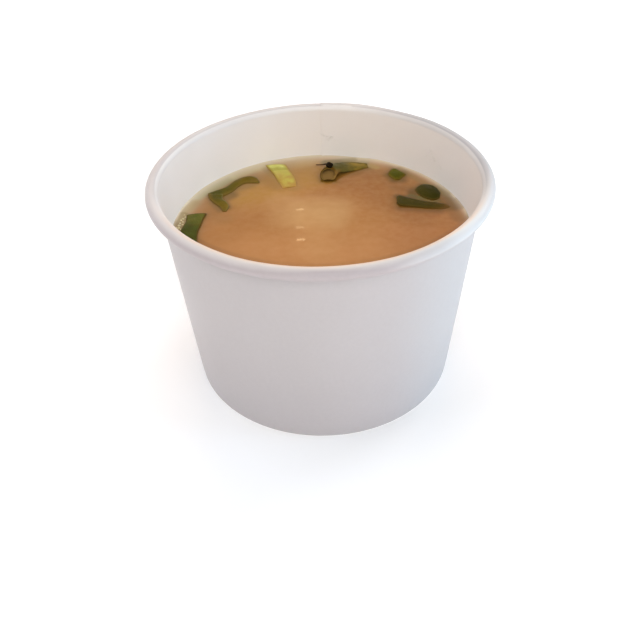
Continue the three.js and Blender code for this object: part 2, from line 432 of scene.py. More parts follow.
def paper_inside(tree, spot, from_axis):
    """The film-lined face, with a painted warm highlight on the near lip and painted cool light over the rim
    on the right.
    """
    near = ramp(tree, spot["Y"], *NEAR_LIP_HIGHLIGHT, 1.0, 0.0)
    before_crest = ramp(tree, from_axis, *RIM_CREST, 1.0, 0.0)
    # Painted warm highlight along the near lip
    lip = times(tree, times(tree, near, before_crest), ramp(tree, spot["Z"], *LIP_HIGHLIGHT_HEIGHT))
    cool = times(tree, ramp(tree, spot["X"], *COOL_LIGHT_RIM), ramp(tree, from_axis, *RIM_CREST))
    return darken(tree, cool, darken(tree, lip, PAPER_LINING, PAPER_LIP_HIGHLIGHT), PAPER_RIM_COOL_LIGHT)


def rim_slope_shade(tree, spot, from_axis):
    """How much painted shade darkens a spot on the rim's inner slope, at the back and the sides, most on the
    right.
    """
    right = ramp(tree, spot["X"], *SLOPE_ON_RIGHT)
    left = ramp(tree, spot["X"], *SLOPE_ON_LEFT, 0.45, 0.0)
    height = ramp(tree, spot["Z"], *RIM_SLOPE_HEIGHT)
    slope = times(tree, height, ramp(tree, from_axis, *RIM_SLOPE_REACH, 1.0, 0.0))
    sides = times(tree, sum_of(tree, "ADD", right, left), ramp(tree, spot["Y"], *SLOPE_BEHIND))
    return times(tree, slope, sides)


def coated_paper():
    """White cup board under a thin film: faint clouding, fibres and an even soft sheen, with painted light
    and shade on its sides, foot and rim.
    """
    material, tree, shader = new_material("coated cup paper", 0.42, IOR=1.45, Coat_Roughness=0.3)
    place = object_place(tree)
    clouding = mottle(tree, place, size=13.0, detail=3.0, contrast=2.2)
    fibres = mottle(tree, place, size=0.9, detail=4.0, contrast=1.6)
    spot, flat = in_millimetres(tree, place)
    from_axis = vector_sum(tree, "LENGTH", flat)
    inside = paper_inside(tree, spot, from_axis)
    # The lining share also paints light and shade on the rolled rim
    paper = blend_colours(tree, stored(tree, "lining"), paper_outside(tree, spot), inside)
    # Painted shade on the rim's inner slope
    paper = darken(tree, rim_slope_shade(tree, spot, from_axis), paper, PAPER_RIM_SLOPE_SHADE)
    clouded = blend_colours(tree, clouding, darken(tree, 1.0, paper, PAPER_CLOUD), paper)
    flecked = blend_colours(tree, times(tree, fibres, FLECK_STRENGTH), clouded, PAPER_FLECK)
    feed(tree, flecked, shader["Base Color"])
    feed(tree, ramp(tree, clouding, 0.0, 1.0, 0.38, 0.48), shader["Roughness"])
    add_bump(tree, shader, fibres, FIBRE_RELIEF)
    return material


BROTH = tint(179, 121, 60)
BROTH_DEEP = tint(170, 113, 53)
BROTH_CURD = tint(214, 166, 108)
WALL_THROUGH_BROTH = tint(228, 214, 186)
# Painted shade on the broth round the leaves and the stalk
LEAF_SHADE = tint(114, 86, 24)
LEAF_WIDE_SHADE = tint(120, 82, 24)
STALK_SHADE = tint(168, 130, 58)
NEAR_WALL_SHADE = tint(120, 86, 54)

# Clouds in the broth: from x, y to x, y, radius, softness, all in millimetres, then strength and colour
BROTH_CLOUDS = [
    # paler towards the front
    (-16.0, -20.0, 18.0, -20.0, 6.0, 18.0, 0.9, (195, 136, 80)),
    # redder at the front on the right
    (24.0, -6.0, 36.0, 0.0, 3.0, 10.0, 0.8, (182, 120, 66)),
    (25.0, 3.0, 34.0, 1.0, 1.5, 5.0, 0.45, (162, 106, 52)),
    # deeper at the back on the right
    (12.0, 25.0, 26.0, 8.0, 3.0, 10.0, 0.85, (162, 104, 46)),
    # browner at the back on the left
    (-22.0, 19.0, -4.0, 30.0, 2.0, 12.0, 0.75, (182, 135, 45)),
    # paler along the wall at the back on the left
    (-20.0, 33.0, -3.0, 37.6, 0.8, 3.6, 0.45, (208, 172, 100)),
    # pale settling miso in the middle
    (-3.5, 10.0, 3.5, 9.0, 1.0, 8.0, 0.85, (204, 158, 100)),
    (-4.0, 4.0, 3.0, 3.0, 1.0, 7.0, 0.8, (204, 158, 100)),
    (-11.0, 14.0, -10.0, 4.0, 1.0, 6.5, 0.4, (206, 160, 102)),
    (-2.0, 1.0, -1.0, -12.0, 0.5, 9.0, 0.45, (202, 150, 92)),
]

# Strokes under the surface, in the same order
SUNK_STROKES = [
    # painted reflection of the leaves' green along the wall, olive, from the square leaf, past the shred, to
    # the stalk
    (-37.6, 10.5, -36.0, 15.5, 0.8, 2.2, 0.5, (170, 154, 98)),
    (-35.6, 17.5, -26.5, 28.4, 0.7, 2.2, 0.8, (166, 162, 112)),
    (-26.0, 29.0, -16.0, 35.8, 0.3, 2.2, 0.7, (198, 182, 124)),
    # painted shade darkening the broth inside the shred's bend and along its inner edge
    (-28.8, 16.2, -26.4, 18.2, 1.3, 2.5, 0.8, (122, 92, 40)),
    (-24.4, 21.4, -20.4, 23.6, 0.2, 2.6, 0.5, (138, 106, 50)),
    (-33.0, 12.6, -27.0, 5.0, 1.0, 4.0, 0.35, (152, 110, 52)),
    (-30.6, 13.4, -28.4, 9.5, 0.1, 1.8, 0.5, (130, 100, 46)),
    (-26.4, 11.0, -27.2, 14.5, 0.1, 1.6, 0.4, (130, 96, 44)),
    # the stalk's sunk end and soft sides
    (-8.8, 22.6, -7.6, 21.6, 0.8, 2.4, 0.6, (166, 124, 60)),
    (-16.4, 33.6, -11.2, 24.4, 0.3, 1.8, 0.75, (158, 120, 48)),
    (-18.5, 30.0, -12.5, 22.5, 0.4, 3.6, 0.5, (156, 112, 48)),
    # shade behind the tube, and under it
    (2.2, 36.8, 8.5, 37.4, 0.7, 1.8, 0.85, (116, 94, 44)),
    (8.5, 37.4, 14.4, 36.6, 0.6, 1.7, 0.75, (144, 128, 62)),
    (5.6, 27.6, 11.6, 29.4, 0.2, 2.6, 0.35, (140, 100, 30)),
    # olive and ochre round the tube's far end
    (12.0, 31.6, 15.6, 33.0, 0.3, 2.0, 0.6, (150, 108, 42)),
    # the round slice's sunk side, and the soft shade round it
    (27.4, 16.6, 30.4, 18.6, 0.7, 2.6, 0.8, (92, 68, 20)),
    (30.0, 20.5, 34.6, 17.5, 0.4, 1.8, 0.55, (104, 84, 40)),
    # between the round slice and the strip
    (26.2, 14.2, 33.6, 11.2, 0.6, 1.6, 0.85, (92, 98, 50)),
    (22.5, 19.6, 26.8, 18.4, 0.6, 2.6, 0.35, (122, 86, 38)),
    # the strip's soft edges and sunk end
    (22.4, 14.8, 26.6, 13.2, 0.1, 1.8, 0.75, (104, 76, 38)),
    (22.8, 8.0, 33.0, 6.0, 0.2, 2.8, 0.6, (122, 80, 38)),
    (34.6, 8.4, 37.4, 7.9, 0.9, 2.6, 0.8, (112, 82, 40)),
    # shade between the round slice and the wall
    (35.0, 18.4, 37.6, 11.5, 0.4, 2.4, 0.8, (104, 84, 44)),
    (36.2, 11.5, 37.6, 7.5, 0.4, 2.2, 0.6, (118, 90, 46)),
    # painted shade on the broth at the soft brown sides of the chip
    (20.6, 27.4, 22.2, 25.0, 0.2, 2.0, 0.6, (118, 88, 34)),
    (22.4, 24.0, 24.6, 24.0, 0.2, 2.6, 0.7, (116, 84, 36)),
    (24.8, 26.2, 25.6, 28.6, 0.4, 1.8, 0.55, (112, 84, 40)),
]

# Strokes laid over everything else, close to the wall, in the same order
SHORE_STROKES = [
    # the olive bed of the bubbles, between the square leaf and the wall, darkened there as painted shade
    (-38.2, 7.6, -39.4, -1.4, 0.8, 0.8, 0.7, (158, 140, 90)),
    (-38.2, 9.5, -36.0, 14.0, 0.4, 1.8, 0.4, (176, 152, 98)),
    # painted shade, olive, behind the hollow leaf, and tan where it ends
    (2.4, 37.1, 11.0, 37.6, 0.4, 1.3, 0.35, (122, 104, 56)),
    (15.8, 33.8, 17.6, 32.6, 0.3, 1.6, 0.7, (192, 160, 98)),
    # olive along the wall behind the chip and the round slice
    (24.5, 30.6, 36.6, 14.6, 0.3, 1.3, 0.35, (146, 126, 78)),
    # olive between the round slice and the strip
    (28.8, 13.8, 31.6, 12.6, 0.2, 0.8, 0.4, (100, 102, 54)),
    # browner along the wall on the right
    (35.6, 11.5, 38.0, 1.5, 0.9, 2.0, 0.5, (136, 96, 46)),
    (39.0, 11.0, 39.5, 6.5, 0.3, 1.2, 0.45, (150, 124, 92)),
]

# Middle and edges of the ring of shade that the near wall casts on the soup, in millimetres
NEAR_SHADE_CENTRE = (0.6, 30.3, 0.0)
NEAR_SHADE_START = (47.7, 49.1)
NEAR_SHADE_END = (49.5, 60.0)

# How much of an effect there is across the soup: from and to in millimetres, then the amount at each
NEAR_SHADE_AMOUNT = (6.0, 24.0, 0.16, 0.26)
CURD_AMOUNT = (-26.0, -4.0, 0.12, 0.2)
WIDE_SHADE_AMOUNT = (-6.0, 8.0, 0.0, 0.45)
THINNING_REACH_LEFT = (-30.0, -18.0, -1.85, -2.5)
THINNING_REACH_RIGHT = (4.0, 28.0, 0.0, 1.6)
MOST_THINNED = 0.96


def lay_strokes(tree, flat, colour, strokes, thinner=1.0):
    """Lays soft strokes of colour over a colour, each by its own strength."""
    for x, y, end_x, end_y, radius, softness, strength, stain in strokes:
        ends = {"From": (x, y, 0.0), "To": (end_x, end_y, 0.0)}
        mask = use_group(tree, STROKE, Vector=flat, **ends, Radius=radius, Softness=softness)
        share = times(tree, times(tree, mask, strength), thinner)
        colour = blend_colours(tree, share, colour, tint(*stain))
    return colour


def shade_round_slices(tree, across, colour):
    """Painted shade on the broth close to the leaves, wider on the right, and painted tan shade close to the
    stalk.
    """
    wide_shade = ramp(tree, across, *WIDE_SHADE_AMOUNT)
    shades = (
        ("to_leaf", 1.7, wide_shade, LEAF_WIDE_SHADE),
        ("to_leaf", 0.75, 0.72, LEAF_SHADE),
        ("to_stalk", 1.0, 0.6, STALK_SHADE),
    )
    for distance, reach, strength, shade in shades:
        close_by = sum_of(tree, "MINIMUM", fade_away(tree, stored(tree, distance), -reach), 1.0)
        colour = blend_colours(tree, times(tree, close_by, strength), colour, shade)
    return colour


def thin_at_wall(tree, flat, across, colour):
    """The wall shows through where the soup climbs it: a wide band in the middle, narrow on the right."""
    shore = wall_inside(SOUP_LEVEL + MENISCUS_HEIGHT)
    from_wall = sum_of(tree, "SUBTRACT", shore, vector_sum(tree, "LENGTH", flat))
    left_reach = ramp(tree, across, *THINNING_REACH_LEFT)
    reach = sum_of(tree, "ADD", left_reach, ramp(tree, across, *THINNING_REACH_RIGHT))
    thinning = sum_of(tree, "MINIMUM", fade_away(tree, from_wall, reach), MOST_THINNED)
    return blend_colours(tree, thinning, colour, WALL_THROUGH_BROTH)


def shade_near_wall(tree, flat, across, colour):
    """A faint ring of shade in front, a little stronger to the sides."""
    from_centre = vector_sum(tree, "LENGTH", vector_sum(tree, "SUBTRACT", flat, NEAR_SHADE_CENTRE))
    amount = ramp(tree, sum_of(tree, "ABSOLUTE", across), *NEAR_SHADE_AMOUNT)
    inner = ramp(tree, from_centre, *NEAR_SHADE_START)
    ring = times(tree, inner, ramp(tree, from_centre, *NEAR_SHADE_END, 1.0, 0.0))
    return blend_colours(tree, times(tree, ring, amount), colour, NEAR_WALL_SHADE)


def miso_broth():
    """Cloudy brown liquid with a wet gloss, paler where the wall shows through it."""
    material, tree, shader = new_material("cloudy miso broth", 0.04, IOR=1.34)
    place = object_place(tree)
    spot, flat = in_millimetres(tree, place)
    across = spot["X"]
    colour = blend_colours(tree, mottle(tree, place, size=17.0, detail=2.0, contrast=2.2), BROTH_DEEP, BROTH)
    broken = ramp(tree, mottle(tree, place, size=7.0, detail=3.0, contrast=1.6), 0.0, 1.0, 0.7, 1.0)
    colour = lay_strokes(tree, flat, colour, BROTH_CLOUDS, broken)
    curds = mottle(tree, place, size=2.3, detail=4.0, contrast=1.7)
    curdled = times(tree, curds, ramp(tree, across, *CURD_AMOUNT))
    colour = blend_colours(tree, curdled, colour, BROTH_CURD)
    colour = lay_strokes(tree, flat, colour, SUNK_STROKES)
    colour = shade_round_slices(tree, across, colour)
    colour = thin_at_wall(tree, flat, across, colour)
    colour = lay_strokes(tree, flat, colour, SHORE_STROKES)
    feed(tree, shade_near_wall(tree, flat, across, colour), shader["Base Color"])
    feed(tree, ramp(tree, curds, 0.0, 1.0, 0.015, 0.03), shader["Roughness"])
    return material


# Painted highlight along the inside of the hollow leaf's lip
TUBE_LIP_HIGHLIGHT = tint(128, 106, 48)
RIB_STRENGTH = 0.18
RIB_RELIEF = 0.03
BLOTCH_STRENGTH = 0.7
BAND_FADE = 0.05
EDGE_STRENGTH = 0.9
SOFT_SIDE_STRENGTH = 0.9
VEIL_STARTS = 0.12


def lay_bands(tree, along, colour, bands):
    """Tints across a slice. Each band has its start and end as shares of the length, strength and tint."""
    for start, end, strength, stain in bands:
        rise = ramp(tree, along, start - BAND_FADE, start, 0.0, strength)
        share = times(tree, rise, ramp(tree, along, end, end + BAND_FADE, 1.0, 0.0))
        colour = blend_colours(tree, share, colour, tint(*stain))
    return colour


# Where the flanks' tone ends, round the hollow leaf and along it, then its strength at each end
FLANK_AROUND = (1.0, 2.6, 0.75, 0.0)
FLANK_ALONG = (0.25, 0.6, 1.0, 0.0)


def tan_flanks(tree, part, colour, flank):
    """Another tone on the hollow leaf's flank, strongest near its mouth."""
    off_side = ramp(tree, sum_of(tree, "ABSOLUTE", part["Y"]), *FLANK_AROUND)
    near_mouth = ramp(tree, part["X"], *FLANK_ALONG)
    return blend_colours(tree, times(tree, off_side, near_mouth), colour, flank)


def leaf_skin(
    name,
    tones,
    edge_width,
    depth=0.34,
    turn=(0.15, 0.85),
    blotch=None,
    bands=(),
    hollow=None,
    soft_side=None,
):
    """Scallion: two tones along its length, fine ribs, a tinted cut edge, fading where broth covers it.

    The four tones are the start, the end, the cut edge and the broth's veil. The veil covers what lies
    less than the depth over the soup. The turn is where along the slice the start gives way to the end.
    A hollow leaf has a tone for its inside, one for its flanks and a painted highlight along the inside
    of its lip. A soft side sinks into the broth between two distances across, in its own tone.
    """
    start, end, edge, veil = (tint(*tone) for tone in tones)
    material, tree, shader = new_material(name, 0.34, IOR=1.34, Specular_IOR_Level=0.09)
    grain = stored(tree, "grain", "Vector")
    part = split(tree, grain)
    colour = blend_colours(tree, ramp(tree, part["X"], *turn), start, end)
    ribs = use_group(tree, RIBS, Grain=grain)
    colour = blend_colours(tree, times(tree, ribs, RIB_STRENGTH), colour, edge)
    place = object_place(tree)
    spots = mottle(tree, place, size=2.2, detail=3.0, contrast=2.4)
    if blotch:
        colour = blend_colours(tree, times(tree, spots, BLOTCH_STRENGTH), colour, tint(*blotch))
    colour = lay_bands(tree, part["X"], colour, bands)
    rim = ramp(tree, part["Z"], 0.0, edge_width, EDGE_STRENGTH, 0.0)
    if hollow:
        inside, flank = (tint(*tone) for tone in hollow)
        within = stored(tree, "hollow")
        colour = blend_colours(tree, ramp(tree, within, 0.5, 1.0), colour, inside)
        colour = blend_colours(tree, rim, colour, edge)
        # Painted highlight along the inside of the lip
        lip = times(tree, ramp(tree, within, 0.6, 1.0), rim)
        colour = blend_colours(tree, lip, colour, TUBE_LIP_HIGHLIGHT)
        colour = tan_flanks(tree, part, colour, flank)
    else:
        colour = blend_colours(tree, rim, colour, edge)
    if soft_side:
        inner, outer, tone = soft_side
        sinking = ramp(tree, part["Y"], inner, outer, 0.0, SOFT_SIDE_STRENGTH)
        colour = blend_colours(tree, sinking, colour, tint(*tone))
    height = split(tree, scaled(tree, place, 1 / MM))["Z"]
    covered = ramp(tree, height, SOUP_LEVEL + VEIL_STARTS, SOUP_LEVEL + depth, 1.0, 0.0)
    feed(tree, blend_colours(tree, covered, colour, veil), shader["Base Color"])
    feed(tree, ramp(tree, spots, 0.0, 1.0, 0.3, 0.45), shader["Roughness"])
    add_bump(tree, shader, ribs, RIB_RELIEF)
    return material


def square_leaf_skin():
    """Dark green, with an olive brown line along its cuts."""
    tones = (112, 108, 38), (66, 70, 14), (94, 68, 12), (104, 80, 26)
    return leaf_skin(
        "square leaf skin",
        tones,
        edge_width=0.6,
        depth=0.24,
        turn=(0.2, 0.52),
        blotch=(80, 92, 32),
    )


def shred_skin():
    """Brownish green, browner towards its tips, its inner side sinking into the broth."""
    tones = (130, 100, 18), (70, 72, 14), (134, 120, 64), (112, 90, 34)
    return leaf_skin(
        "curled shred skin",
        tones,
        edge_width=0.5,
        depth=0.5,
        turn=(0.05, 1.0),
        blotch=(102, 90, 20),
        soft_side=(0.3, 1.9, (128, 102, 42)),
    )


def stalk_skin():
    """Lime at its dry end, pale yellow green, turning to tan where it sinks."""
    tones = (242, 246, 142), (190, 152, 74), (188, 160, 76), (186, 144, 72)
    return leaf_skin(
        "pale stalk skin",
        tones,
        edge_width=0.8,
        depth=0.4,
        turn=(0.0, 0.7),
        blotch=(208, 202, 96),
        # A darker band is painted across the stalk as the shade in its fold, then a paler band beyond it
        bands=[(0.2, 0.28, 0.6, (172, 160, 62)), (0.34, 0.4, 0.4, (200, 180, 90))],
        soft_side=(1.5, 3.1, (192, 156, 80)),
    )


def tube_skin():
    """Grey green with brown at its mouth, bright olive at the far end, tan inside."""
    tones = (102, 95, 44), (166, 136, 54), (96, 66, 14), (118, 90, 38)
    return leaf_skin(
        "hollow leaf skin",
        tones,
        edge_width=1.2,
        depth=0.3,
        turn=(0.6, 0.86),
        blotch=(90, 84, 34),
        hollow=((134, 104, 56), (144, 110, 54)),
    )


def chip_skin():
    """Bright green in its middle, brown green at its edge."""
    tones = (97, 97, 8), (76, 78, 3), (112, 98, 22), (118, 92, 34)
    return leaf_skin("bright chip skin", tones, edge_width=1.3, depth=0.5)


def round_skin():
    """Dark green, browner on its sunk side."""
    tones = (66, 60, 4), (54, 53, 2), (68, 62, 14), (96, 76, 28)
    return leaf_skin("round leaf skin", tones, edge_width=1.0, depth=0.5)


def strip_skin():
    """Dark grey green with a brown edge, fading to olive brown at its sunk end."""
    tones = (66, 61, 11), (92, 68, 11), (84, 68, 20), (112, 82, 36)
    return leaf_skin("strip skin", tones, edge_width=1.0, depth=0.42, turn=(0.3, 1.0), blotch=(68, 62, 14))


def scrap_skin():
    """Almost black, with a dark brown edge."""
    tones = (20, 13, 2), (22, 15, 3), (60, 38, 12), (84, 60, 28)
    return leaf_skin("dark scrap skin", tones, edge_width=0.3)


def thread_skin():
    """Soft brown, almost the broth's own tone."""
    tones = (92, 62, 18), (52, 34, 8), (98, 68, 22), (114, 82, 34)
    return leaf_skin("thread skin", tones, edge_width=0.2)


# ---- The paper cup ----


def wall_outside(height):
    """Radius of the wall's outer face."""
    neck = RIM_RADIUS - 2 * CURL_RADIUS + PAPER
    return FOOT_RADIUS + (neck - FOOT_RADIUS) * height / CURL_CENTRE[1]


def wall_inside(height):
    """Radius of the wall's inner face."""
    return wall_outside(height) - PAPER


def skirt_middle(height):
    """Radius of the middle of the floor's skirt, which stands between wall and hem."""
    return wall_inside(height) - GAP - PAPER / 2


def hem_middle(height):
    """Radius of the middle of the folded hem."""
    return skirt_middle(height) - PAPER - GAP


def arc(centre, radius_at, start, end, steps):
    """Points on an arc from one angle to another, in degrees, with a radius that may change."""
    points = []
    for step in range(steps + 1):
        share = step / steps
        angle = math.radians(start + (end - start) * share)
        radius = radius_at(share)
        points.append((centre[0] + radius * math.cos(angle), centre[1] + radius * math.sin(angle)))
    return points


def curl_radius(share):
    """Middle of the paper in the rolled rim: even over the top, then drawn in to its free end."""
    facing_out = 180 / CURL_TURN
    drawn_in = max(0.0, (share - facing_out) / (1 - facing_out))
    return CURL_RADIUS - PAPER / 2 - CURL_TIGHTENING * drawn_in


def sheet_face(side):
    """One face of the wall's sheet, from the hem's edge under the foot, up the wall and over the rim."""
    offset = side * PAPER / 2
    fold_height = FOLD_RADIUS + PAPER / 2

    def fold(_):
        return FOLD_RADIUS + offset

    hem = [(hem_middle(height) - offset, height) for height in (HEM_HEIGHT, 4.5, 2.5)]
    inner_fold = arc((hem_middle(0) + FOLD_RADIUS, fold_height), fold, 180, 270, 5)
    outer_fold = arc((wall_outside(0) - PAPER / 2 - FOLD_RADIUS, fold_height), fold, 270, 360, 5)
    heights = [2.0 + 2.5 * step for step in range(23)]
    wall = [(wall_outside(height) - PAPER / 2 + offset, height) for height in heights]
    curl = arc(CURL_CENTRE, lambda share: curl_radius(share) - offset, 180, 180 - CURL_TURN, 30)
    return hem + inner_fold + outer_fold + wall + curl


def turn_rings(name, outline, columns):
    """Stands a ring at the outline's first point and extrudes it from point to point."""
    radius, height = outline[0]
    deselect()
    bpy.ops.mesh.primitive_circle_add(vertices=columns, radius=radius * MM, location=(0, 0, height * MM))
    piece = bpy.context.object
    piece.name = name
    settle(piece)
    edit(piece)
    bpy.ops.mesh.select_all(action="SELECT")
    for next_radius, next_height in outline[1:]:
        rise = (0, 0, (next_height - height) * MM)
        bpy.ops.mesh.extrude_region_move(TRANSFORM_OT_translate={"value": rise})
        spread = next_radius / radius
        bpy.ops.transform.resize(value=(spread, spread, 1), center_override=(0, 0, 0))
        radius, height = next_radius, next_height
    bpy.ops.mesh.select_all(action="DESELECT")
    return piece


def join_open_ends(piece):
    """Bridges the first ring to the last, which closes a sheet's cut edge."""
    pick_open_edges(piece)
    bpy.ops.mesh.bridge_edge_loops()
    deselect()


def close_poles(piece):
    """Fills the small holes left on the axis and pokes them into fans."""
    pick_open_edges(piece)
    bpy.ops.mesh.fill_holes(sides=0)
    bpy.ops.mesh.select_mode(type="FACE")
    bpy.ops.mesh.poke()
    deselect()


def cut_from_axis(piece, bearing):
    """Cuts a row of edges down the back of the cup, at a bearing in degrees from +Y."""
    edit(piece)
    pick(piece, lambda vertex: vertex.co.y > 20 * MM and abs(vertex.co.x) < 30 * MM)
    turn = math.radians(bearing)
    bpy.ops.mesh.bisect(plane_co=(0, 0, 0), plane_no=(math.cos(turn), -math.sin(turn), 0))
    deselect()


def bearing_of(place):
    """Degrees round from +Y, positive towards +X."""
    return math.degrees(math.atan2(place.x, place.y))


def radius_and_height(place):
    """How far a place is from the cup's axis and how high it is, in millimetres."""
    return math.hypot(place.x, place.y) / MM, place.z / MM


def share_between(value, start, end):
    """How far a value has come from start to end, held between 0 and 1."""
    return min(1.0, max(0.0, (value - start) / (end - start)))


def soft_share(value, start, end):
    """The same share, with soft ends."""
    share = share_between(value, start, end)
    return share * share * (3 - 2 * share)


# How far round the rolled rim and beside the wall a point is still taken for a point of its face
CURL_ZONE = 0.5
CURL_SLACK = 0.07
WALL_ZONE = 0.6


def on_lining(radius, height):
    """Whether a point is on the face that lines the cup and goes on over the rim."""
    if radius > CURL_CENTRE[0] - CURL_ZONE or height > CURL_CENTRE[1]:
        return math.dist((radius, height), CURL_CENTRE) > CURL_RADIUS - PAPER + CURL_SLACK
    middle = wall_outside(height) - PAPER / 2
    return middle - WALL_ZONE < radius < middle


def lap_thickness(bearing, lining):
    """How far the lapped sheet stands proud at a bearing, from 0 to 1, on the lining or outside."""
    if lining:
        up = soft_share(bearing, LAP_START, LAP_START + LAP_EDGE)
        down = soft_share(bearing, LAP_END, LAP_END + LAP_FADE)
    else:
        up = soft_share(bearing, LAP_START - LAP_FADE, LAP_START)
        down = soft_share(bearing, LAP_END - LAP_EDGE, LAP_END)
    return up * (1 - down)


def raise_lap(piece):
    """Lifts the paper where the sheet laps over itself: a sharp edge one way, a soft fade the other."""
    for vertex in piece.data.vertices:
        radius, height = radius_and_height(vertex.co)
        in_hem = radius < wall_outside(height) - PAPER - 0.1
        if in_hem or height < 1.2:
            continue
        lining = on_lining(radius, height)
        hidden_in_curl = not lining and (height > CURL_CENTRE[1] or radius > wall_outside(height) + 0.1)
        if hidden_in_curl:
            continue
        vertex.co += vertex.normal * LAP_STEP * MM * lap_thickness(bearing_of(vertex.co), lining)


# How much of the bright lining tone shows on parts of the rim, from 0 to 1, and what is added or taken
# off there; the shares paint light and shade on the rolled rim
FRONT_BAND = 0.36
BACK_BAND = 0.45
FAR_BACK_EXTRA = 0.08
# Painted shade that dulls the rim's band on the right
RIGHT_SHADE = 0.84
# Painted light on the rim's outer edge on the right
RIGHT_EDGE = 0.14


def film_and_light_on_rim(turn, x, y):
    """How much of the bright lining tone shows on the rolled rim, at a turn in degrees up from straight
    outwards. The share paints light and shade on the rim.

    In front it is a painted highlight line along the crest, which spreads outwards on the right. Elsewhere
    it is an even band over the crest, made duller on the right by painted shade, and full on the inner
    slope.
    """
    side = soft_share(abs(x), 0, 17)
    crest = share_between(turn, 50 - 28 * side, 110 + 7 * side)
    outwards = FRONT_BAND * soft_share(turn, -15, 10)
    front = max(crest, outwards * soft_share(x, 12, 22)) + outwards * soft_share(x, 26, 34)
    right = soft_share(x, 12, 34)
    band = (BACK_BAND + FAR_BACK_EXTRA * soft_share(y, 5, 30)) * (1 - RIGHT_SHADE * right)
    edge = RIGHT_EDGE * soft_share(x, 29, 38) * (1 - soft_share(turn, 10, 50))
    inner_slope = soft_share(turn, 135 + 15 * right, 180 + 15 * right)
    elsewhere = (band + edge) * soft_share(turn, -40, 10) + (1 - band) * inner_slope
    return min(1.0, front + (elsewhere - front) * soft_share(y, -30, 5))


def mark_lining(piece):
    """Stores how much of the sheet's bright film-lined face shows: all inside, none outside the curl; on the
    rolled rim the share paints light and shade.
    """
    shares = []
    for vertex in piece.data.vertices:
        radius, height = radius_and_height(vertex.co)
        share = float(on_lining(radius, height))
        if radius > CURL_CENTRE[0] - CURL_RADIUS + PAPER + 0.2 and height > CURL_CENTRE[1] - CURL_RADIUS:
            turn = math.degrees(math.atan2(height - CURL_CENTRE[1], radius - CURL_CENTRE[0]))
            share *= film_and_light_on_rim(turn, vertex.co.x / MM, vertex.co.y / MM)
        shares.append(share)
    store(piece, "lining", shares)


# How far the paper strays from true, as a share of its radius and in millimetres up or down, and how
# quickly that changes round the cup and up it
OUT_OF_ROUND = 0.0028
RIM_WAVE = 0.12
WAVES_ROUND = 1.6
WAVES_UP = 1.3


def hand_made(piece):
    """Lets the paper stray a little from true round, most of all at the rim."""
    for vertex in piece.data.vertices:
        bearing = math.atan2(vertex.co.x, vertex.co.y)
        share = vertex.co.z / (CUP_HEIGHT * MM)
        where = Vector((WAVES_ROUND * math.cos(bearing), WAVES_ROUND * math.sin(bearing), WAVES_UP * share))
        stray = 1 + OUT_OF_ROUND * noise.noise(where) * share
        vertex.co.x *= stray
        vertex.co.y *= stray
        vertex.co.z += RIM_WAVE * MM * noise.noise(where * 1.7 + Vector((7, 3, 1))) * share**2


def make_side_wall(paper):
    """The cup's wall: one sheet folded up inside at the foot, lapped at the back, rolled at the rim."""
    outline = sheet_face(1) + sheet_face(-1)[::-1]
    wall = turn_rings("cup_wall", outline, COLUMNS_AROUND)
    join_open_ends(wall)
    face_outwards(wall)
    for bearing in (LAP_START, LAP_START + LAP_EDGE, LAP_END - LAP_EDGE, LAP_END):
        cut_from_axis(wall, bearing)
    raise_lap(wall)
    mark_lining(wall)
    hand_made(wall)
    smooth(wall, 50)
    return complete(wall, "cup_wall", "side_wall", paper)


def make_floor_disc(paper):
    """The cup's recessed floor, its edge turned down into a skirt between wall and hem."""
    middle = FLOOR_HEIGHT - PAPER / 2
    bend_height = middle - FLOOR_BEND
    bend_centre = (skirt_middle(bend_height) - FLOOR_BEND, bend_height)
    outer_bend = arc(bend_centre, lambda _: FLOOR_BEND + PAPER / 2, 90, 0, 6)
    inner_bend = arc(bend_centre, lambda _: FLOOR_BEND - PAPER / 2, 0, 90, 6)
    end = skirt_middle(SKIRT_LIFT)
    skirt = [(end + PAPER / 2, SKIRT_LIFT), (end - PAPER / 2, SKIRT_LIFT)]
    top = [(2.0, FLOOR_HEIGHT), (12.0, FLOOR_HEIGHT), (24.0, FLOOR_HEIGHT)]
    under = [(radius, FLOOR_HEIGHT - PAPER) for radius, _ in reversed(top)]
    disc = turn_rings("cup_floor", top + outer_bend + skirt + inner_bend + under, COLUMNS_AROUND // 2)
    close_poles(disc)
    face_outwards(disc)
    store(disc, "lining", [float(vertex.co.z > middle * MM) for vertex in disc.data.vertices])
    smooth(disc, 50)
    return complete(disc, "cup_floor", "bottom_disc", paper)


# ---- The scallion slices ----


def between(points, share):
    """A point on a smooth line through rows of numbers, at a share of the way along."""
    place = share * (len(points) - 1)
    index = min(int(place), len(points) - 2)
    t = place - index
    before = points[max(index - 1, 0)]
    start = points[index]
    end = points[index + 1]
    after = points[min(index + 2, len(points) - 1)]
    mixed = []
    for a, b, c, d in zip(before, start, end, after):
        curve = 2 * b + (c - a) * t + (2 * a - 5 * b + 4 * c - d) * t**2 + (3 * b - a - 3 * c + d) * t**3
        mixed.append(curve / 2)
    return mixed


# A slice breaks the surface where its crown stands at least this far over the soup, in millimetres
AFLOAT = 0.12


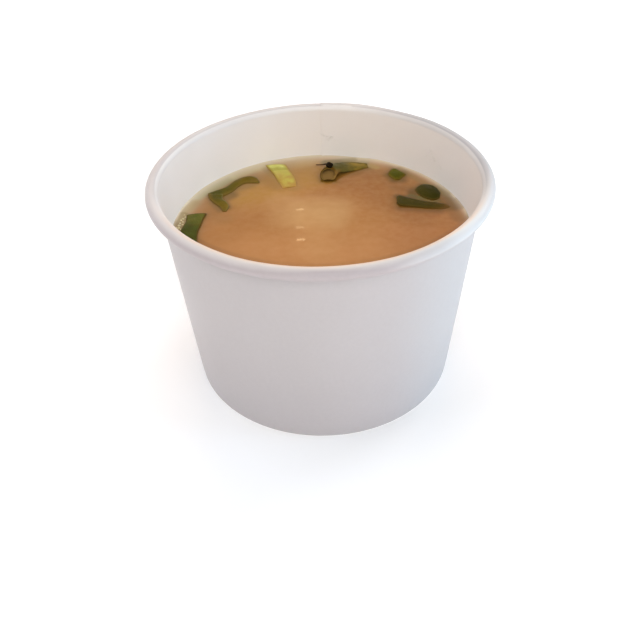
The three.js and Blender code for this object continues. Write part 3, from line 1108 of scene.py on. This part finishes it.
def lay_strip(name, rows, thickness, lengthways=26, across=8):
    """A leaf cut to shape. Each row is left x, left y, right x, right y, height, arch and tilt.

    Heights are over the soup's level. A flat grid has its rows laid out in turn, then gets its
    thickness and its eased edges. Returns the piece and its outline on the soup.
    """
    deselect()
    bpy.ops.mesh.primitive_grid_add(x_subdivisions=across, y_subdivisions=lengthways, size=2)
    piece = bpy.context.object
    piece.name = name
    lines = [between(rows, step / lengthways) for step in range(lengthways + 1)]
    middles = [Vector(((row[0] + row[2]) / 2, (row[1] + row[3]) / 2)) for row in lines]
    travelled = [0.0]
    for first, second in zip(middles, middles[1:]):
        travelled.append(travelled[-1] + (second - first).length)
    grain = []
    for vertex in piece.data.vertices:
        step = round((vertex.co.y + 1) / 2 * lengthways)
        side = vertex.co.x
        left_x, left_y, right_x, right_y, height, arch, tilt = lines[step]
        share = (side + 1) / 2
        x = left_x + (right_x - left_x) * share
        y = left_y + (right_y - left_y) * share
        z = SOUP_LEVEL + height + arch * (1 - side**2) + tilt * side
        half_width = math.hypot(right_x - left_x, right_y - left_y) / 2
        from_end = min(travelled[step], travelled[-1] - travelled[step])
        from_edge = min((1 - abs(side)) * half_width, from_end)
        grain.append((travelled[step] / travelled[-1], side * half_width, from_edge))
        vertex.co = Vector((x, y, z)) * MM
    store(piece, "grain", grain)
    modify(piece, "SOLIDIFY", thickness=thickness * MM, offset=0.0, use_even_offset=True)
    face_outwards(piece)
    ease_edges(piece, 0.12)
    roughen(piece, 0.16, 2.2)
    smooth(piece, 45)
    afloat = [row for row in lines if row[4] + row[5] > AFLOAT]
    return piece, [(row[0], row[1]) for row in afloat] + [(row[2], row[3]) for row in reversed(afloat)]


# The slices' rows, as lay_strip reads them, in millimetres
LEAF_ROWS = [
    (-37.6, 7.3, -32.0, 7.6, 0.15, 0.25, 0.1),
    (-37.4, 5.2, -32.6, 4.8, 0.2, 0.3, 0.1),
    (-37.4, 3.0, -33.0, 1.6, 0.2, 0.35, 0.05),
    (-38.1, -0.2, -33.4, -1.6, 0.15, 0.35, 0.0),
    (-38.4, -3.2, -33.3, -4.6, 0.1, 0.3, 0.0),
    (-37.8, -7.4, -33.0, -8.4, 0.05, 0.2, 0.0),
]

SHRED_ROWS = [
    (-17.9, 25.3, -18.3, 24.6, 0.0, 0.05, 0.0),
    (-19.6, 28.2, -19.4, 24.9, 0.15, 0.2, -0.1),
    (-22.4, 28.3, -21.9, 24.9, 0.2, 0.25, -0.15),
    (-25.4, 25.7, -23.9, 23.2, 0.2, 0.25, -0.2),
    (-27.8, 21.9, -25.6, 20.2, 0.2, 0.25, -0.25),
    (-31.0, 19.8, -28.0, 17.6, 0.2, 0.2, -0.2),
    (-32.7, 18.8, -30.0, 16.2, 0.18, 0.15, -0.1),
]

SHRED_ARM_ROWS = [
    (-26.6, 8.9, -27.6, 8.9, -0.02, 0.05, 0.0),
    (-26.0, 11.4, -28.5, 10.9, 0.12, 0.12, -0.1),
    (-27.0, 13.6, -30.1, 13.2, 0.18, 0.16, -0.1),
    (-28.2, 15.7, -31.9, 15.7, 0.22, 0.2, 0.0),
    (-28.3, 18.2, -32.8, 18.2, 0.22, 0.2, 0.0),
]

STALK_ROWS = [
    (-16.5, 35.4, -10.3, 35.5, 0.2, 0.22, 0.0),
    (-14.9, 32.2, -9.3, 32.4, 0.16, 0.26, 0.0),
    (-13.4, 28.8, -8.1, 28.9, 0.08, 0.28, 0.0),
    (-12.2, 25.0, -7.1, 25.4, -0.02, 0.26, 0.0),
    (-10.8, 21.2, -6.8, 22.4, -0.24, 0.18, 0.0),
]

CHIP_ROWS = [
    (22.3, 31.1, 23.7, 30.8, -0.05, 0.25, 0.0),
    (21.4, 29.3, 25.2, 28.8, 0.0, 0.45, 0.0),
    (20.8, 27.7, 26.2, 27.1, 0.0, 0.5, 0.0),
    (21.6, 25.8, 24.9, 25.6, 0.0, 0.45, 0.0),
    (22.7, 24.3, 24.0, 24.3, -0.1, 0.25, 0.0),
]

STRIP_ROWS = [
    (22.0, 13.6, 21.8, 10.4, 0.15, 0.1, 0.05),
    (22.9, 14.5, 22.6, 9.0, 0.2, 0.16, 0.05),
    (24.9, 13.4, 24.6, 8.5, 0.2, 0.24, 0.0),
    (27.4, 12.1, 27.2, 7.9, 0.12, 0.28, 0.0),
    (31.1, 10.6, 30.4, 7.2, 0.05, 0.26, 0.0),
    (34.6, 9.8, 34.0, 6.9, -0.08, 0.22, 0.0),
    (37.2, 8.6, 36.8, 7.2, -0.35, 0.12, 0.0),
]

ROUND_ROWS = [
    (27.7, 17.9, 28.2, 16.2, -0.2, 0.12, 0.0),
    (29.0, 19.7, 28.8, 14.9, -0.02, 0.42, 0.0),
    (30.9, 20.7, 29.6, 13.6, 0.04, 0.56, 0.0),
    (32.9, 20.2, 31.1, 12.3, 0.06, 0.6, 0.0),
    (34.2, 18.2, 32.7, 11.9, 0.05, 0.5, 0.0),
    (34.9, 15.6, 34.2, 12.8, -0.06, 0.25, 0.0),
]


THIN_LEAF = 0.45
THICK_LEAF = 0.5
STALK_LAYER = 0.6


def make_slice(name, stands_for, rows, thickness, skin, lengthways=26):
    """One flat slice, finished, with its CAD node hidden. Returns its outline on the soup."""
    piece, outline = lay_strip(name, rows, thickness, lengthways)
    complete(piece, name, stands_for, skin)
    return outline


def make_leaf(skin):
    """The flat square-ended leaf beside the wall."""
    return make_slice("leaf_square", "scallion_leaf", LEAF_ROWS, THIN_LEAF, skin)


def make_shred(skin):
    """The curled shred: two strips grown together where it folds back."""
    upper, upper_outline = lay_strip("shred_upper", SHRED_ROWS, THIN_LEAF, lengthways=34)
    lower, lower_outline = lay_strip("shred_lower", SHRED_ARM_ROWS, THIN_LEAF)
    take(upper)
    lower.select_set(True)
    bpy.ops.object.join()
    complete(upper, "leaf_curl", "scallion_shred", skin)
    return [upper_outline, lower_outline]


def make_stalk(skin):
    """The pale layer of stalk whose inner end sinks."""
    return make_slice("stalk_slice", "scallion_stalk", STALK_ROWS, STALK_LAYER, skin)


def make_chip(skin):
    """The small bright chip."""
    return make_slice("leaf_chip", "scallion_chip", CHIP_ROWS, THIN_LEAF, skin, lengthways=16)


def make_strip(skin):
    """The long flattened strip whose outer end sinks."""
    return make_slice("leaf_strip", "scallion_strip", STRIP_ROWS, THICK_LEAF, skin)


def make_round(skin):
    """The rounded dark slice, whose inner side sinks."""
    return make_slice("leaf_round", "scallion_round", ROUND_ROWS, THICK_LEAF, skin, lengthways=20)


# Middle of the hollow leaf: x, y, height over the soup, half its width, half its height
TUBE_STATIONS = [
    (2.65, 24.3, 1.15, 2.35, 1.25),
    (2.8, 27.0, 1.2, 2.5, 1.3),
    (4.3, 30.2, 1.05, 2.7, 1.2),
    (7.2, 32.2, 0.62, 3.0, 0.85),
    (10.6, 33.3, 0.32, 2.8, 0.5),
    (15.0, 33.9, 0.0, 1.5, 0.25),
]
TUBE_WALL = 0.3
TUBE_SLANT = 2.3
TUBE_LENGTH = 17.5
TUBE_PRESSED_SHUT = 6.5
LIP_RISE = 1.0
LIP_LENGTH = 1.6
THINNEST = 0.05
PRESSED_GAP = 0.12
TUBE_RINGS = 31
TUBE_COLUMNS = 44
GRAIN_PER_RADIAN = 2.4


def tube_heading(share):
    """Which way the hollow leaf runs at a share along it, seen from above."""
    after = between(TUBE_STATIONS, min(share + 0.02, 1.0))
    before = between(TUBE_STATIONS, max(share - 0.02, 0.0))
    return Vector((after[0] - before[0], after[1] - before[1])).normalized()


def tube_point(share, angle, inset):
    """A place on the hollow leaf, its mouth cut on a slant, and how far along it lies.

    Inside, the lower skin rises to the upper one a few millimetres in, as the leaf is pressed shut there.
    """
    base = between(TUBE_STATIONS, share)
    upwards = math.sin(angle)
    lift = max(THINNEST, base[4] - inset) * upwards + base[4]
    pressed = 0.0
    if inset and upwards < 0:
        pressed = min(1.0, share * TUBE_LENGTH / TUBE_PRESSED_SHUT) ** 1.3
    share += (1 - share) ** 1.5 * TUBE_SLANT * lift / TUBE_LENGTH
    held = min(share, 1.0)
    x, y, height, half_width, half_height = between(TUBE_STATIONS, held)
    heading = tube_heading(held)
    side = max(THINNEST, half_width - inset) * math.cos(angle)
    up = max(THINNEST, half_height - inset) * upwards
    up += pressed * (-2 * up + PRESSED_GAP * upwards)
    up += LIP_RISE * max(0.0, -upwards) * max(0.0, 1 - share * TUBE_LENGTH / LIP_LENGTH) ** 2
    return Vector((x + heading.y * side, y - heading.x * side, SOUP_LEVEL + height + up)), share


def tube_outline():
    """The hollow leaf's outline on the soup, a little inside its widest part."""
    left = []
    right = []
    for step in range(13):
        x, y, _, half_width, _ = between(TUBE_STATIONS, step / 12)
        heading = tube_heading(step / 12)
        reach = half_width * 0.9
        left.append((x - heading.y * reach, y + heading.x * reach))
        right.append((x + heading.y * reach, y - heading.x * reach))
    return left + right[::-1]


def make_tube(skin):
    """The length of hollow leaf: an oval tube with a slanting open mouth, pinched at its far end.

    It starts as one straight pipe. Its first half becomes the outer skin, its second half the inner one.
    """
    last = TUBE_RINGS - 1
    piece = turn_rings("tube", [(5.0, float(ring)) for ring in range(2 * TUBE_RINGS)], TUBE_COLUMNS)
    join_open_ends(piece)
    grain = []
    hollow = []
    for vertex in piece.data.vertices:
        ring = round(vertex.co.z / MM)
        angle = math.atan2(vertex.co.y, vertex.co.x)
        inner = ring > last
        share = (ring - TUBE_RINGS) / last if inner else 1 - ring / last
        spot, along = tube_point(share, angle, TUBE_WALL if inner else 0.0)
        grain.append((along, angle * GRAIN_PER_RADIAN, share * TUBE_LENGTH))
        hollow.append(float(inner))
        vertex.co = spot * MM
    store(piece, "grain", grain)
    store(piece, "hollow", hollow)
    face_outwards(piece)
    ease_edges(piece, 0.08)
    roughen(piece, 0.2, 2.4)
    smooth(piece, 45)
    complete(piece, "leaf_tube", "scallion_tube", skin)
    return tube_outline()


# ---- The soup ----


def signed_distance(spots, ring):
    """Distance from each spot to a closed outline, negative inside it."""
    starts = np.array(ring, float)
    ends = np.roll(starts, -1, axis=0)
    nearest = np.full(len(spots), 1e9)
    crossings = np.zeros(len(spots), int)
    for start, end in zip(starts, ends):
        span = end - start
        share = np.clip(((spots - start) @ span) / max(span @ span, 1e-9), 0, 1)
        nearest = np.minimum(nearest, np.linalg.norm(spots - start - share[:, None] * span, axis=1))
        crosses = (start[1] > spots[:, 1]) != (end[1] > spots[:, 1])
        rise = end[1] - start[1]
        at = start[0] + (spots[:, 1] - start[1]) * span[0] / (rise if abs(rise) > 1e-9 else 1e-9)
        crossings += crosses & (spots[:, 0] < at)
    return np.where(crossings % 2 == 1, -nearest, nearest)


def climb_at_wall(inwards):
    """How far the soup climbs at a distance from the wall."""
    return MENISCUS_HEIGHT * math.exp(-inwards / MENISCUS_REACH)


def soup_outline():
    """Section of the soup, from the middle of its underside round to the middle of its surface."""
    floor = FLOOR_HEIGHT + 0.05
    side = [(wall_inside(height) - 0.03, height) for height in (floor, 20.0, 32.0, 40.0, 42.5)]
    shore = wall_inside(SOUP_LEVEL + MENISCUS_HEIGHT) - 0.02
    steps = (0.0, 0.25, 0.5, 0.8, 1.15, 1.6, 2.1, 2.7, 3.3, 4.0)
    climb = [(shore - inwards, SOUP_LEVEL + climb_at_wall(inwards)) for inwards in steps]
    flat = [(shore - 4.7 - 0.75 * step, SOUP_LEVEL) for step in range(34)]
    middle = [(radius, SOUP_LEVEL) for radius in (9.0, 7.5, 6.0, 4.5, 3.0, 1.5)]
    return [(1.5, floor), (20.0, floor)] + side + climb + flat + middle


def nearest_edge(spots, rings):
    """Distance from each spot to the nearest of some outlines, negative inside one."""
    distance = np.full(len(spots), 1e3)
    for ring in rings:
        distance = np.minimum(distance, signed_distance(spots, ring))
    return distance


def seen_from_above(piece):
    """Where a piece's vertices are across and along, in millimetres."""
    return np.array([vertex.co[:2] for vertex in piece.data.vertices]) / MM


# The surface is finer from a little under the slices' edges to a little outside them, in millimetres
FINE_FROM = -0.9
FINE_TO = 2.2
SURFACE = SOUP_LEVEL - 0.01
CLIMB_AT_SLICE = 0.07
CLIMB_REACH = 0.7
UNEVEN_CLIMB = 0.25


def refine_round_slices(soup, rings):
    """Cuts the soup's surface finer close to whatever floats in it."""
    distance = nearest_edge(seen_from_above(soup), rings)
    edit(soup)
    pick(soup, lambda vertex: vertex.co.z > SURFACE * MM and FINE_FROM < distance[vertex.index] < FINE_TO)
    bpy.ops.mesh.subdivide(number_cuts=1, smoothness=0)
    deselect()


def make_soup(broth, rings, stalk_ring):
    """The liquid: it climbs a little at the wall and at everything that floats in it."""
    soup = turn_rings("soup", soup_outline(), COLUMNS_AROUND)
    close_poles(soup)
    face_outwards(soup)
    refine_round_slices(soup, [*rings, stalk_ring])
    spots = seen_from_above(soup)
    to_leaf = nearest_edge(spots, rings)
    to_stalk = nearest_edge(spots, [stalk_ring])
    store(soup, "to_leaf", to_leaf)
    store(soup, "to_stalk", to_stalk)
    distance = np.maximum(0.0, np.minimum(to_leaf, to_stalk))
    for vertex, away in zip(soup.data.vertices, distance):
        height = vertex.co.z / MM
        if height < SURFACE:
            continue
        bearing = math.atan2(vertex.co.x, vertex.co.y)
        uneven = noise.noise(Vector((5 * math.cos(bearing), 5 * math.sin(bearing), 0)))
        climb = (height - SOUP_LEVEL) * (1 + UNEVEN_CLIMB * uneven)
        climb += CLIMB_AT_SLICE * math.exp(-away / CLIMB_REACH)
        vertex.co.z = (SOUP_LEVEL + climb) * MM
    smooth(soup, 60)
    return complete(soup, "soup", "broth", broth)


# ---- Small things on the soup and the wall ----

# Across, towards the back and over the soup
SCRAP_PLACE = (3.1, 29.9, 2.75)


def make_scrap(skin):
    """The black scrap that clings to the hollow leaf."""
    deselect()
    bpy.ops.mesh.primitive_ico_sphere_add(subdivisions=4, radius=1.0 * MM)
    scrap = bpy.context.object
    scrap.scale = (1.0, 1.15, 0.55)
    scrap.rotation_euler = (math.radians(14), 0, math.radians(-20))
    scrap.location = (Vector(SCRAP_PLACE) + Vector((0, 0, SOUP_LEVEL))) * MM
    settle(scrap)
    roughen(scrap, 0.9, 0.9)
    store(scrap, "grain", [(0.5, vertex.co.x / MM - SCRAP_PLACE[0], 1.0) for vertex in scrap.data.vertices])
    smooth(scrap, 60)
    complete(scrap, "dark_scrap", None, skin)


THREAD_THICKNESS = 0.25
THREAD_ROWS = [
    (-0.9, 35.6, -0.8, 35.1, 0.1, 0.05, 0.0),
    (0.8, 33.6, 0.9, 33.0, 1.1, 0.08, 0.0),
    (2.5, 31.4, 2.6, 30.3, 2.5, 0.1, 0.0),
]


def make_thread(skin):
    """The thin thread from the black scrap down to the soup."""
    thread, _ = lay_strip("thread", THREAD_ROWS, THREAD_THICKNESS, lengthways=14, across=4)
    complete(thread, "dark_thread", None, skin)


def dome(name, flatness):
    """A small dome of one millimetre radius: the upper part of a ball, flattened."""
    deselect()
    bpy.ops.mesh.primitive_uv_sphere_add(segments=20, ring_count=12, radius=1.0 * MM)
    piece = bpy.context.object
    piece.name = name
    edit(piece)
    bpy.ops.mesh.select_all(action="SELECT")
    bpy.ops.transform.resize(value=(1, 1, flatness))
    foot = (0, 0, -0.25 * flatness * MM)
    bpy.ops.mesh.bisect(plane_co=foot, plane_no=(0, 0, 1), clear_inner=True, use_fill=True)
    deselect()
    smooth(piece, 50)
    return piece


# Bubbles against the wall beside the square leaf: x, y, radius
BUBBLES = [
    (-38.2, 7.3, 0.26),
    (-37.8, 6.2, 0.3),
    (-38.3, 5.3, 0.38),
    (-38.8, 4.5, 0.3),
    (-38.2, 3.7, 0.24),
    (-38.9, 2.9, 0.28),
    (-38.1, 2.3, 0.32),
    (-39.0, 1.7, 0.42),
    (-38.9, 0.6, 0.34),
    (-39.5, 0.5, 0.26),
    (-38.3, 0.0, 0.3),
    (-39.2, -0.2, 0.3),
]


def make_bubbles(film):
    """Small bubbles in a row along the shore."""
    first = dome("bubble", 0.8)
    for index, (x, y, radius) in enumerate(BUBBLES, start=1):
        bubble = copy_of(first)
        bubble.scale = (radius, radius, radius)
        from_wall = max(0.0, wall_inside(SOUP_LEVEL) - math.hypot(x, y))
        bubble.location = Vector((x, y, SOUP_LEVEL + climb_at_wall(from_wall))) * MM
        complete(bubble, f"bubble_{index:02d}", None, film)
    bpy.data.objects.remove(first)


# Dried splashes on the wall: bearing, height, radius, stretch
SPLASHES = [
    (1.6, 51.3, 0.3, 1.5),
    (2.5, 50.8, 0.26, 1.7),
    (3.6, 50.5, 0.25, 1.8),
    (4.9, 50.4, 0.28, 1.6),
    (6.0, 50.3, 0.3, 1.4),
    (5.3, 49.9, 0.26, 1.5),
    (4.3, 49.5, 0.32, 1.5),
    (7.3, 49.3, 0.25, 0.8),
    (52.3, 52.3, 0.4, 1.5),
    (53.4, 51.7, 0.3, 1.4),
    (55.2, 50.3, 0.42, 1.3),
    (54.4, 50.9, 0.28, 1.6),
    (50.6, 50.3, 0.35, 1.4),
    (59.2, 49.0, 0.4, 1.2),
]


def make_splashes(film, wall):
    """Dried drops on the wall above the soup, each set down on the wall's own face."""
    first = dome("splash", 0.12)
    for index, (bearing, height, radius, stretch) in enumerate(SPLASHES, start=1):
        drop = copy_of(first)
        drop.scale = (radius * stretch, radius, radius)
        turn = math.radians(bearing)
        outwards = Vector((math.sin(turn), math.cos(turn), 0))
        off_wall = (Vector((0, 0, 0.08)) - outwards).normalized()
        drop.rotation_mode = "QUATERNION"
        drop.rotation_quaternion = off_wall.to_track_quat("Z", "Y")
        drop.location = wall.ray_cast(Vector((0, 0, height * MM)), outwards)[1]
        complete(drop, f"splash_{index:02d}", None, film)
    bpy.data.objects.remove(first)


def spotted_film(name, roughness, size, detail, dull, bright, **values):
    """A glossy film in two close tones, with spots of a size in millimetres."""
    material, tree, shader = new_material(name, roughness, **values)
    spots = mottle(tree, object_place(tree), size, detail, contrast=1.5)
    feed(tree, blend_colours(tree, spots, dull, bright), shader["Base Color"])
    return material


def bubble_film():
    """The thin pale skin of a bubble; its pale tones are a painted reflection of the wall and a painted
    highlight.
    """
    tones = tint(192, 174, 124), tint(234, 220, 176)
    gloss = {"IOR": 1.34, "Coat_Weight": 0.6, "Coat_Roughness": 0.02}
    return spotted_film("bubble film", 0.08, 0.6, 1.0, *tones, **gloss)


def dried_film():
    """A dried drop on white paper: almost the paper's own colour, with a gloss."""
    tones = tint(249, 245, 238), tint(252, 248, 242)
    gloss = {"IOR": 1.4, "Coat_Weight": 0.1, "Coat_Roughness": 0.2}
    return spotted_film("dried splash", 0.3, 0.8, 2.0, *tones, **gloss)


# ---- Studio ----


# How the floor's painted shadow and glow change with the distance from the cup, in metres, then the amount
# at each end
CONTACT_SHADOW = (0.03, 0.09, 1.0, 0.0)
NEAR_GLOW = (0.036, 0.065, 0.19, 0.28)
FAR_GLOW = (0.8, 2.0, 0.0, 0.73)


def floor_paint():
    """Pale studio floor with a painted shadow, a little greyer near the cup, and a painted glow from the
    floor itself, faint near the cup and stronger far out.
    """
    material, tree, shader = new_material("studio floor", 0.8, Specular_IOR_Level=0.1, Emission_Strength=1.0)
    place = object_place(tree)
    clouding = mottle(tree, place, size=160.0, detail=2.0, contrast=1.5)
    pale = blend_colours(tree, clouding, tint(246, 246, 246), tint(248, 248, 248))
    from_cup = vector_sum(tree, "LENGTH", place)
    # Painted shadow greying the floor near the cup
    near = ramp(tree, from_cup, *CONTACT_SHADOW)
    feed(tree, blend_colours(tree, near, pale, tint(238, 238, 238)), shader["Base Color"])
    # Painted light: the floor glows a little near the cup and more far out, though it is no lamp
    strength = sum_of(tree, "ADD", ramp(tree, from_cup, *NEAR_GLOW), ramp(tree, from_cup, *FAR_GLOW))
    glow = node(tree, "ShaderNodeCombineColor", {"Red": strength, "Green": strength, "Blue": strength})
    feed(tree, glow.outputs["Color"], shader["Emission Color"])
    return material


def make_floor():
    """A wide plain floor under the cup."""
    deselect()
    bpy.ops.mesh.primitive_plane_add(size=8.0)
    floor = bpy.context.object
    floor.name = "floor"
    floor.data.materials.append(floor_paint())


# Where the camera stands, in millimetres, with its own right, down and forward directions
CAMERA_PLACE = (-1.0336, -170.6460, 149.8571)
CAMERA_RIGHT = (0.99957014, -0.01856022, -0.02269486)
CAMERA_DOWN = (-0.02931788, -0.63279610, -0.77376324)
CAMERA_FORWARD = (0.0, 0.77409600, -0.63306823)
CAMERA_LENS = 41.0415
CAMERA_FILM = 36.0


def make_camera():
    """The camera, tilted down at the cup from in front."""
    data = bpy.data.cameras.new("camera")
    data.lens = CAMERA_LENS
    data.sensor_width = CAMERA_FILM
    data.clip_start = 0.005
    data.clip_end = 50.0
    camera = bpy.data.objects.new("camera", data)
    bpy.context.scene.collection.objects.link(camera)
    turn = Matrix((Vector(CAMERA_RIGHT), -Vector(CAMERA_DOWN), -Vector(CAMERA_FORWARD))).transposed()
    camera.matrix_world = Matrix.Translation(Vector(CAMERA_PLACE) * MM) @ turn.to_4x4()
    bpy.context.scene.camera = camera


def add_softbox(name, place, aim, width, height, power, colour):
    """A rectangular lamp at a place in metres, aimed at a point."""
    data = bpy.data.lights.new(name, "AREA")
    data.shape = "RECTANGLE"
    data.size = width
    data.size_y = height
    data.energy = power
    data.color = colour
    lamp = bpy.data.objects.new(name, data)
    bpy.context.scene.collection.objects.link(lamp)
    lamp.location = place
    lamp.rotation_euler = (Vector(aim) - Vector(place)).to_track_quat("-Z", "Y").to_euler()


# What the soft lamps are aimed at, in metres
LAMP_AIM = (0, 0, 0.04)

# Soft lamps: name, place in metres, width, height, power, colour
SOFTBOXES = [
    ("high left softbox", (-1.3, 0.0, 1.2), 1.2, 1.2, 10.0, (0.95, 0.965, 1.0)),
    ("high front softbox", (0.0, -1.3, 1.2), 1.2, 1.2, 12.7, (1.0, 0.98, 0.97)),
    ("front right softbox", (1.15, -1.15, 0.9), 0.9, 0.9, 6.9, (0.95, 0.985, 1.0)),
    ("far right softbox", (1.6, -0.3, 0.75), 0.5, 0.9, 5.4, (0.75, 0.85, 1.0)),
    ("low right softbox", (1.6, 0.0, 0.3), 0.8, 0.5, 3.3, (0.02, 0.5, 1.0)),
    ("back right softbox", (1.15, 1.15, 0.9), 0.9, 0.9, 10.6, (0.94, 0.96, 1.0)),
    ("back left softbox", (-1.15, 1.15, 0.9), 0.9, 0.9, 6.1, (0.8, 0.855, 1.0)),
    ("high back softbox", (0.0, 1.1, 1.5), 1.0, 1.0, 7.75, (1.0, 0.685, 0.43)),
    ("panel that the soup mirrors", (0.0, 1.35, 0.97), 1.3, 0.6, 1.5, (1.0, 0.96, 0.92)),
]

# Small lamps mirrored in the soup: x and y of the glint in millimetres, and power
GLINTS = [(-5.8, 8.91, 0.00072), (-5.77, -0.56, 0.0007), (-5.46, -6.7, 0.00115)]
GLINT_SIZE = (0.016, 0.003)
GLINT_DISTANCE = 1.2
GLINT_COLOUR = (1.0, 0.72, 0.4)


# The surroundings' light from low down to high up: heights from 0 to 1, then the strength at each
LOW_LIGHT = (0.12, 0.42, 0.32, 0.02)


def studio_air():
    """White surroundings that light the cup only a little, from low down all round."""
    world = bpy.data.worlds.new("studio air")
    world.use_nodes = True
    tree = world.node_tree
    background = tree.nodes["Background"].inputs
    height = split(tree, node(tree, "ShaderNodeTexCoord").outputs["Generated"])["Z"]
    lit = ramp(tree, height, *LOW_LIGHT)
    seen = node(tree, "ShaderNodeLightPath").outputs["Is Camera Ray"]
    background["Color"].default_value = (1.0, 1.0, 1.0, 1.0)
    feed(tree, sum_of(tree, "MAXIMUM", lit, seen), background["Strength"])
    return world


def light_studio():
    """Soft light all round, and three narrow lamps high behind that glint in the soup."""
    for name, place, width, height, power, colour in SOFTBOXES:
        add_softbox(name, place, LAMP_AIM, width, height, power, colour)
    eye = Vector(CAMERA_PLACE) * MM
    for index, (x, y, power) in enumerate(GLINTS, start=1):
        spot = Vector((x, y, SOUP_LEVEL)) * MM
        ray = (spot - eye).normalized()
        place = spot + Vector((ray.x, ray.y, -ray.z)) * GLINT_DISTANCE
        add_softbox(f"glint lamp {index}", place, spot, *GLINT_SIZE, power, GLINT_COLOUR)
    bpy.context.scene.world = studio_air()
    bpy.context.scene.view_settings.view_transform = "Standard"


# ---- Assembly ----


def build():
    """Makes the cup, the scallion, the soup and the studio."""
    make_camera()
    light_studio()
    make_floor()
    paper = coated_paper()
    wall = make_side_wall(paper)
    make_floor_disc(paper)
    rings = [
        make_leaf(square_leaf_skin()),
        *make_shred(shred_skin()),
        make_tube(tube_skin()),
        make_chip(chip_skin()),
        make_round(round_skin()),
        make_strip(strip_skin()),
    ]
    make_soup(miso_broth(), rings, make_stalk(stalk_skin()))
    make_scrap(scrap_skin())
    make_thread(thread_skin())
    make_bubbles(bubble_film())
    make_splashes(dried_film(), wall)


build()
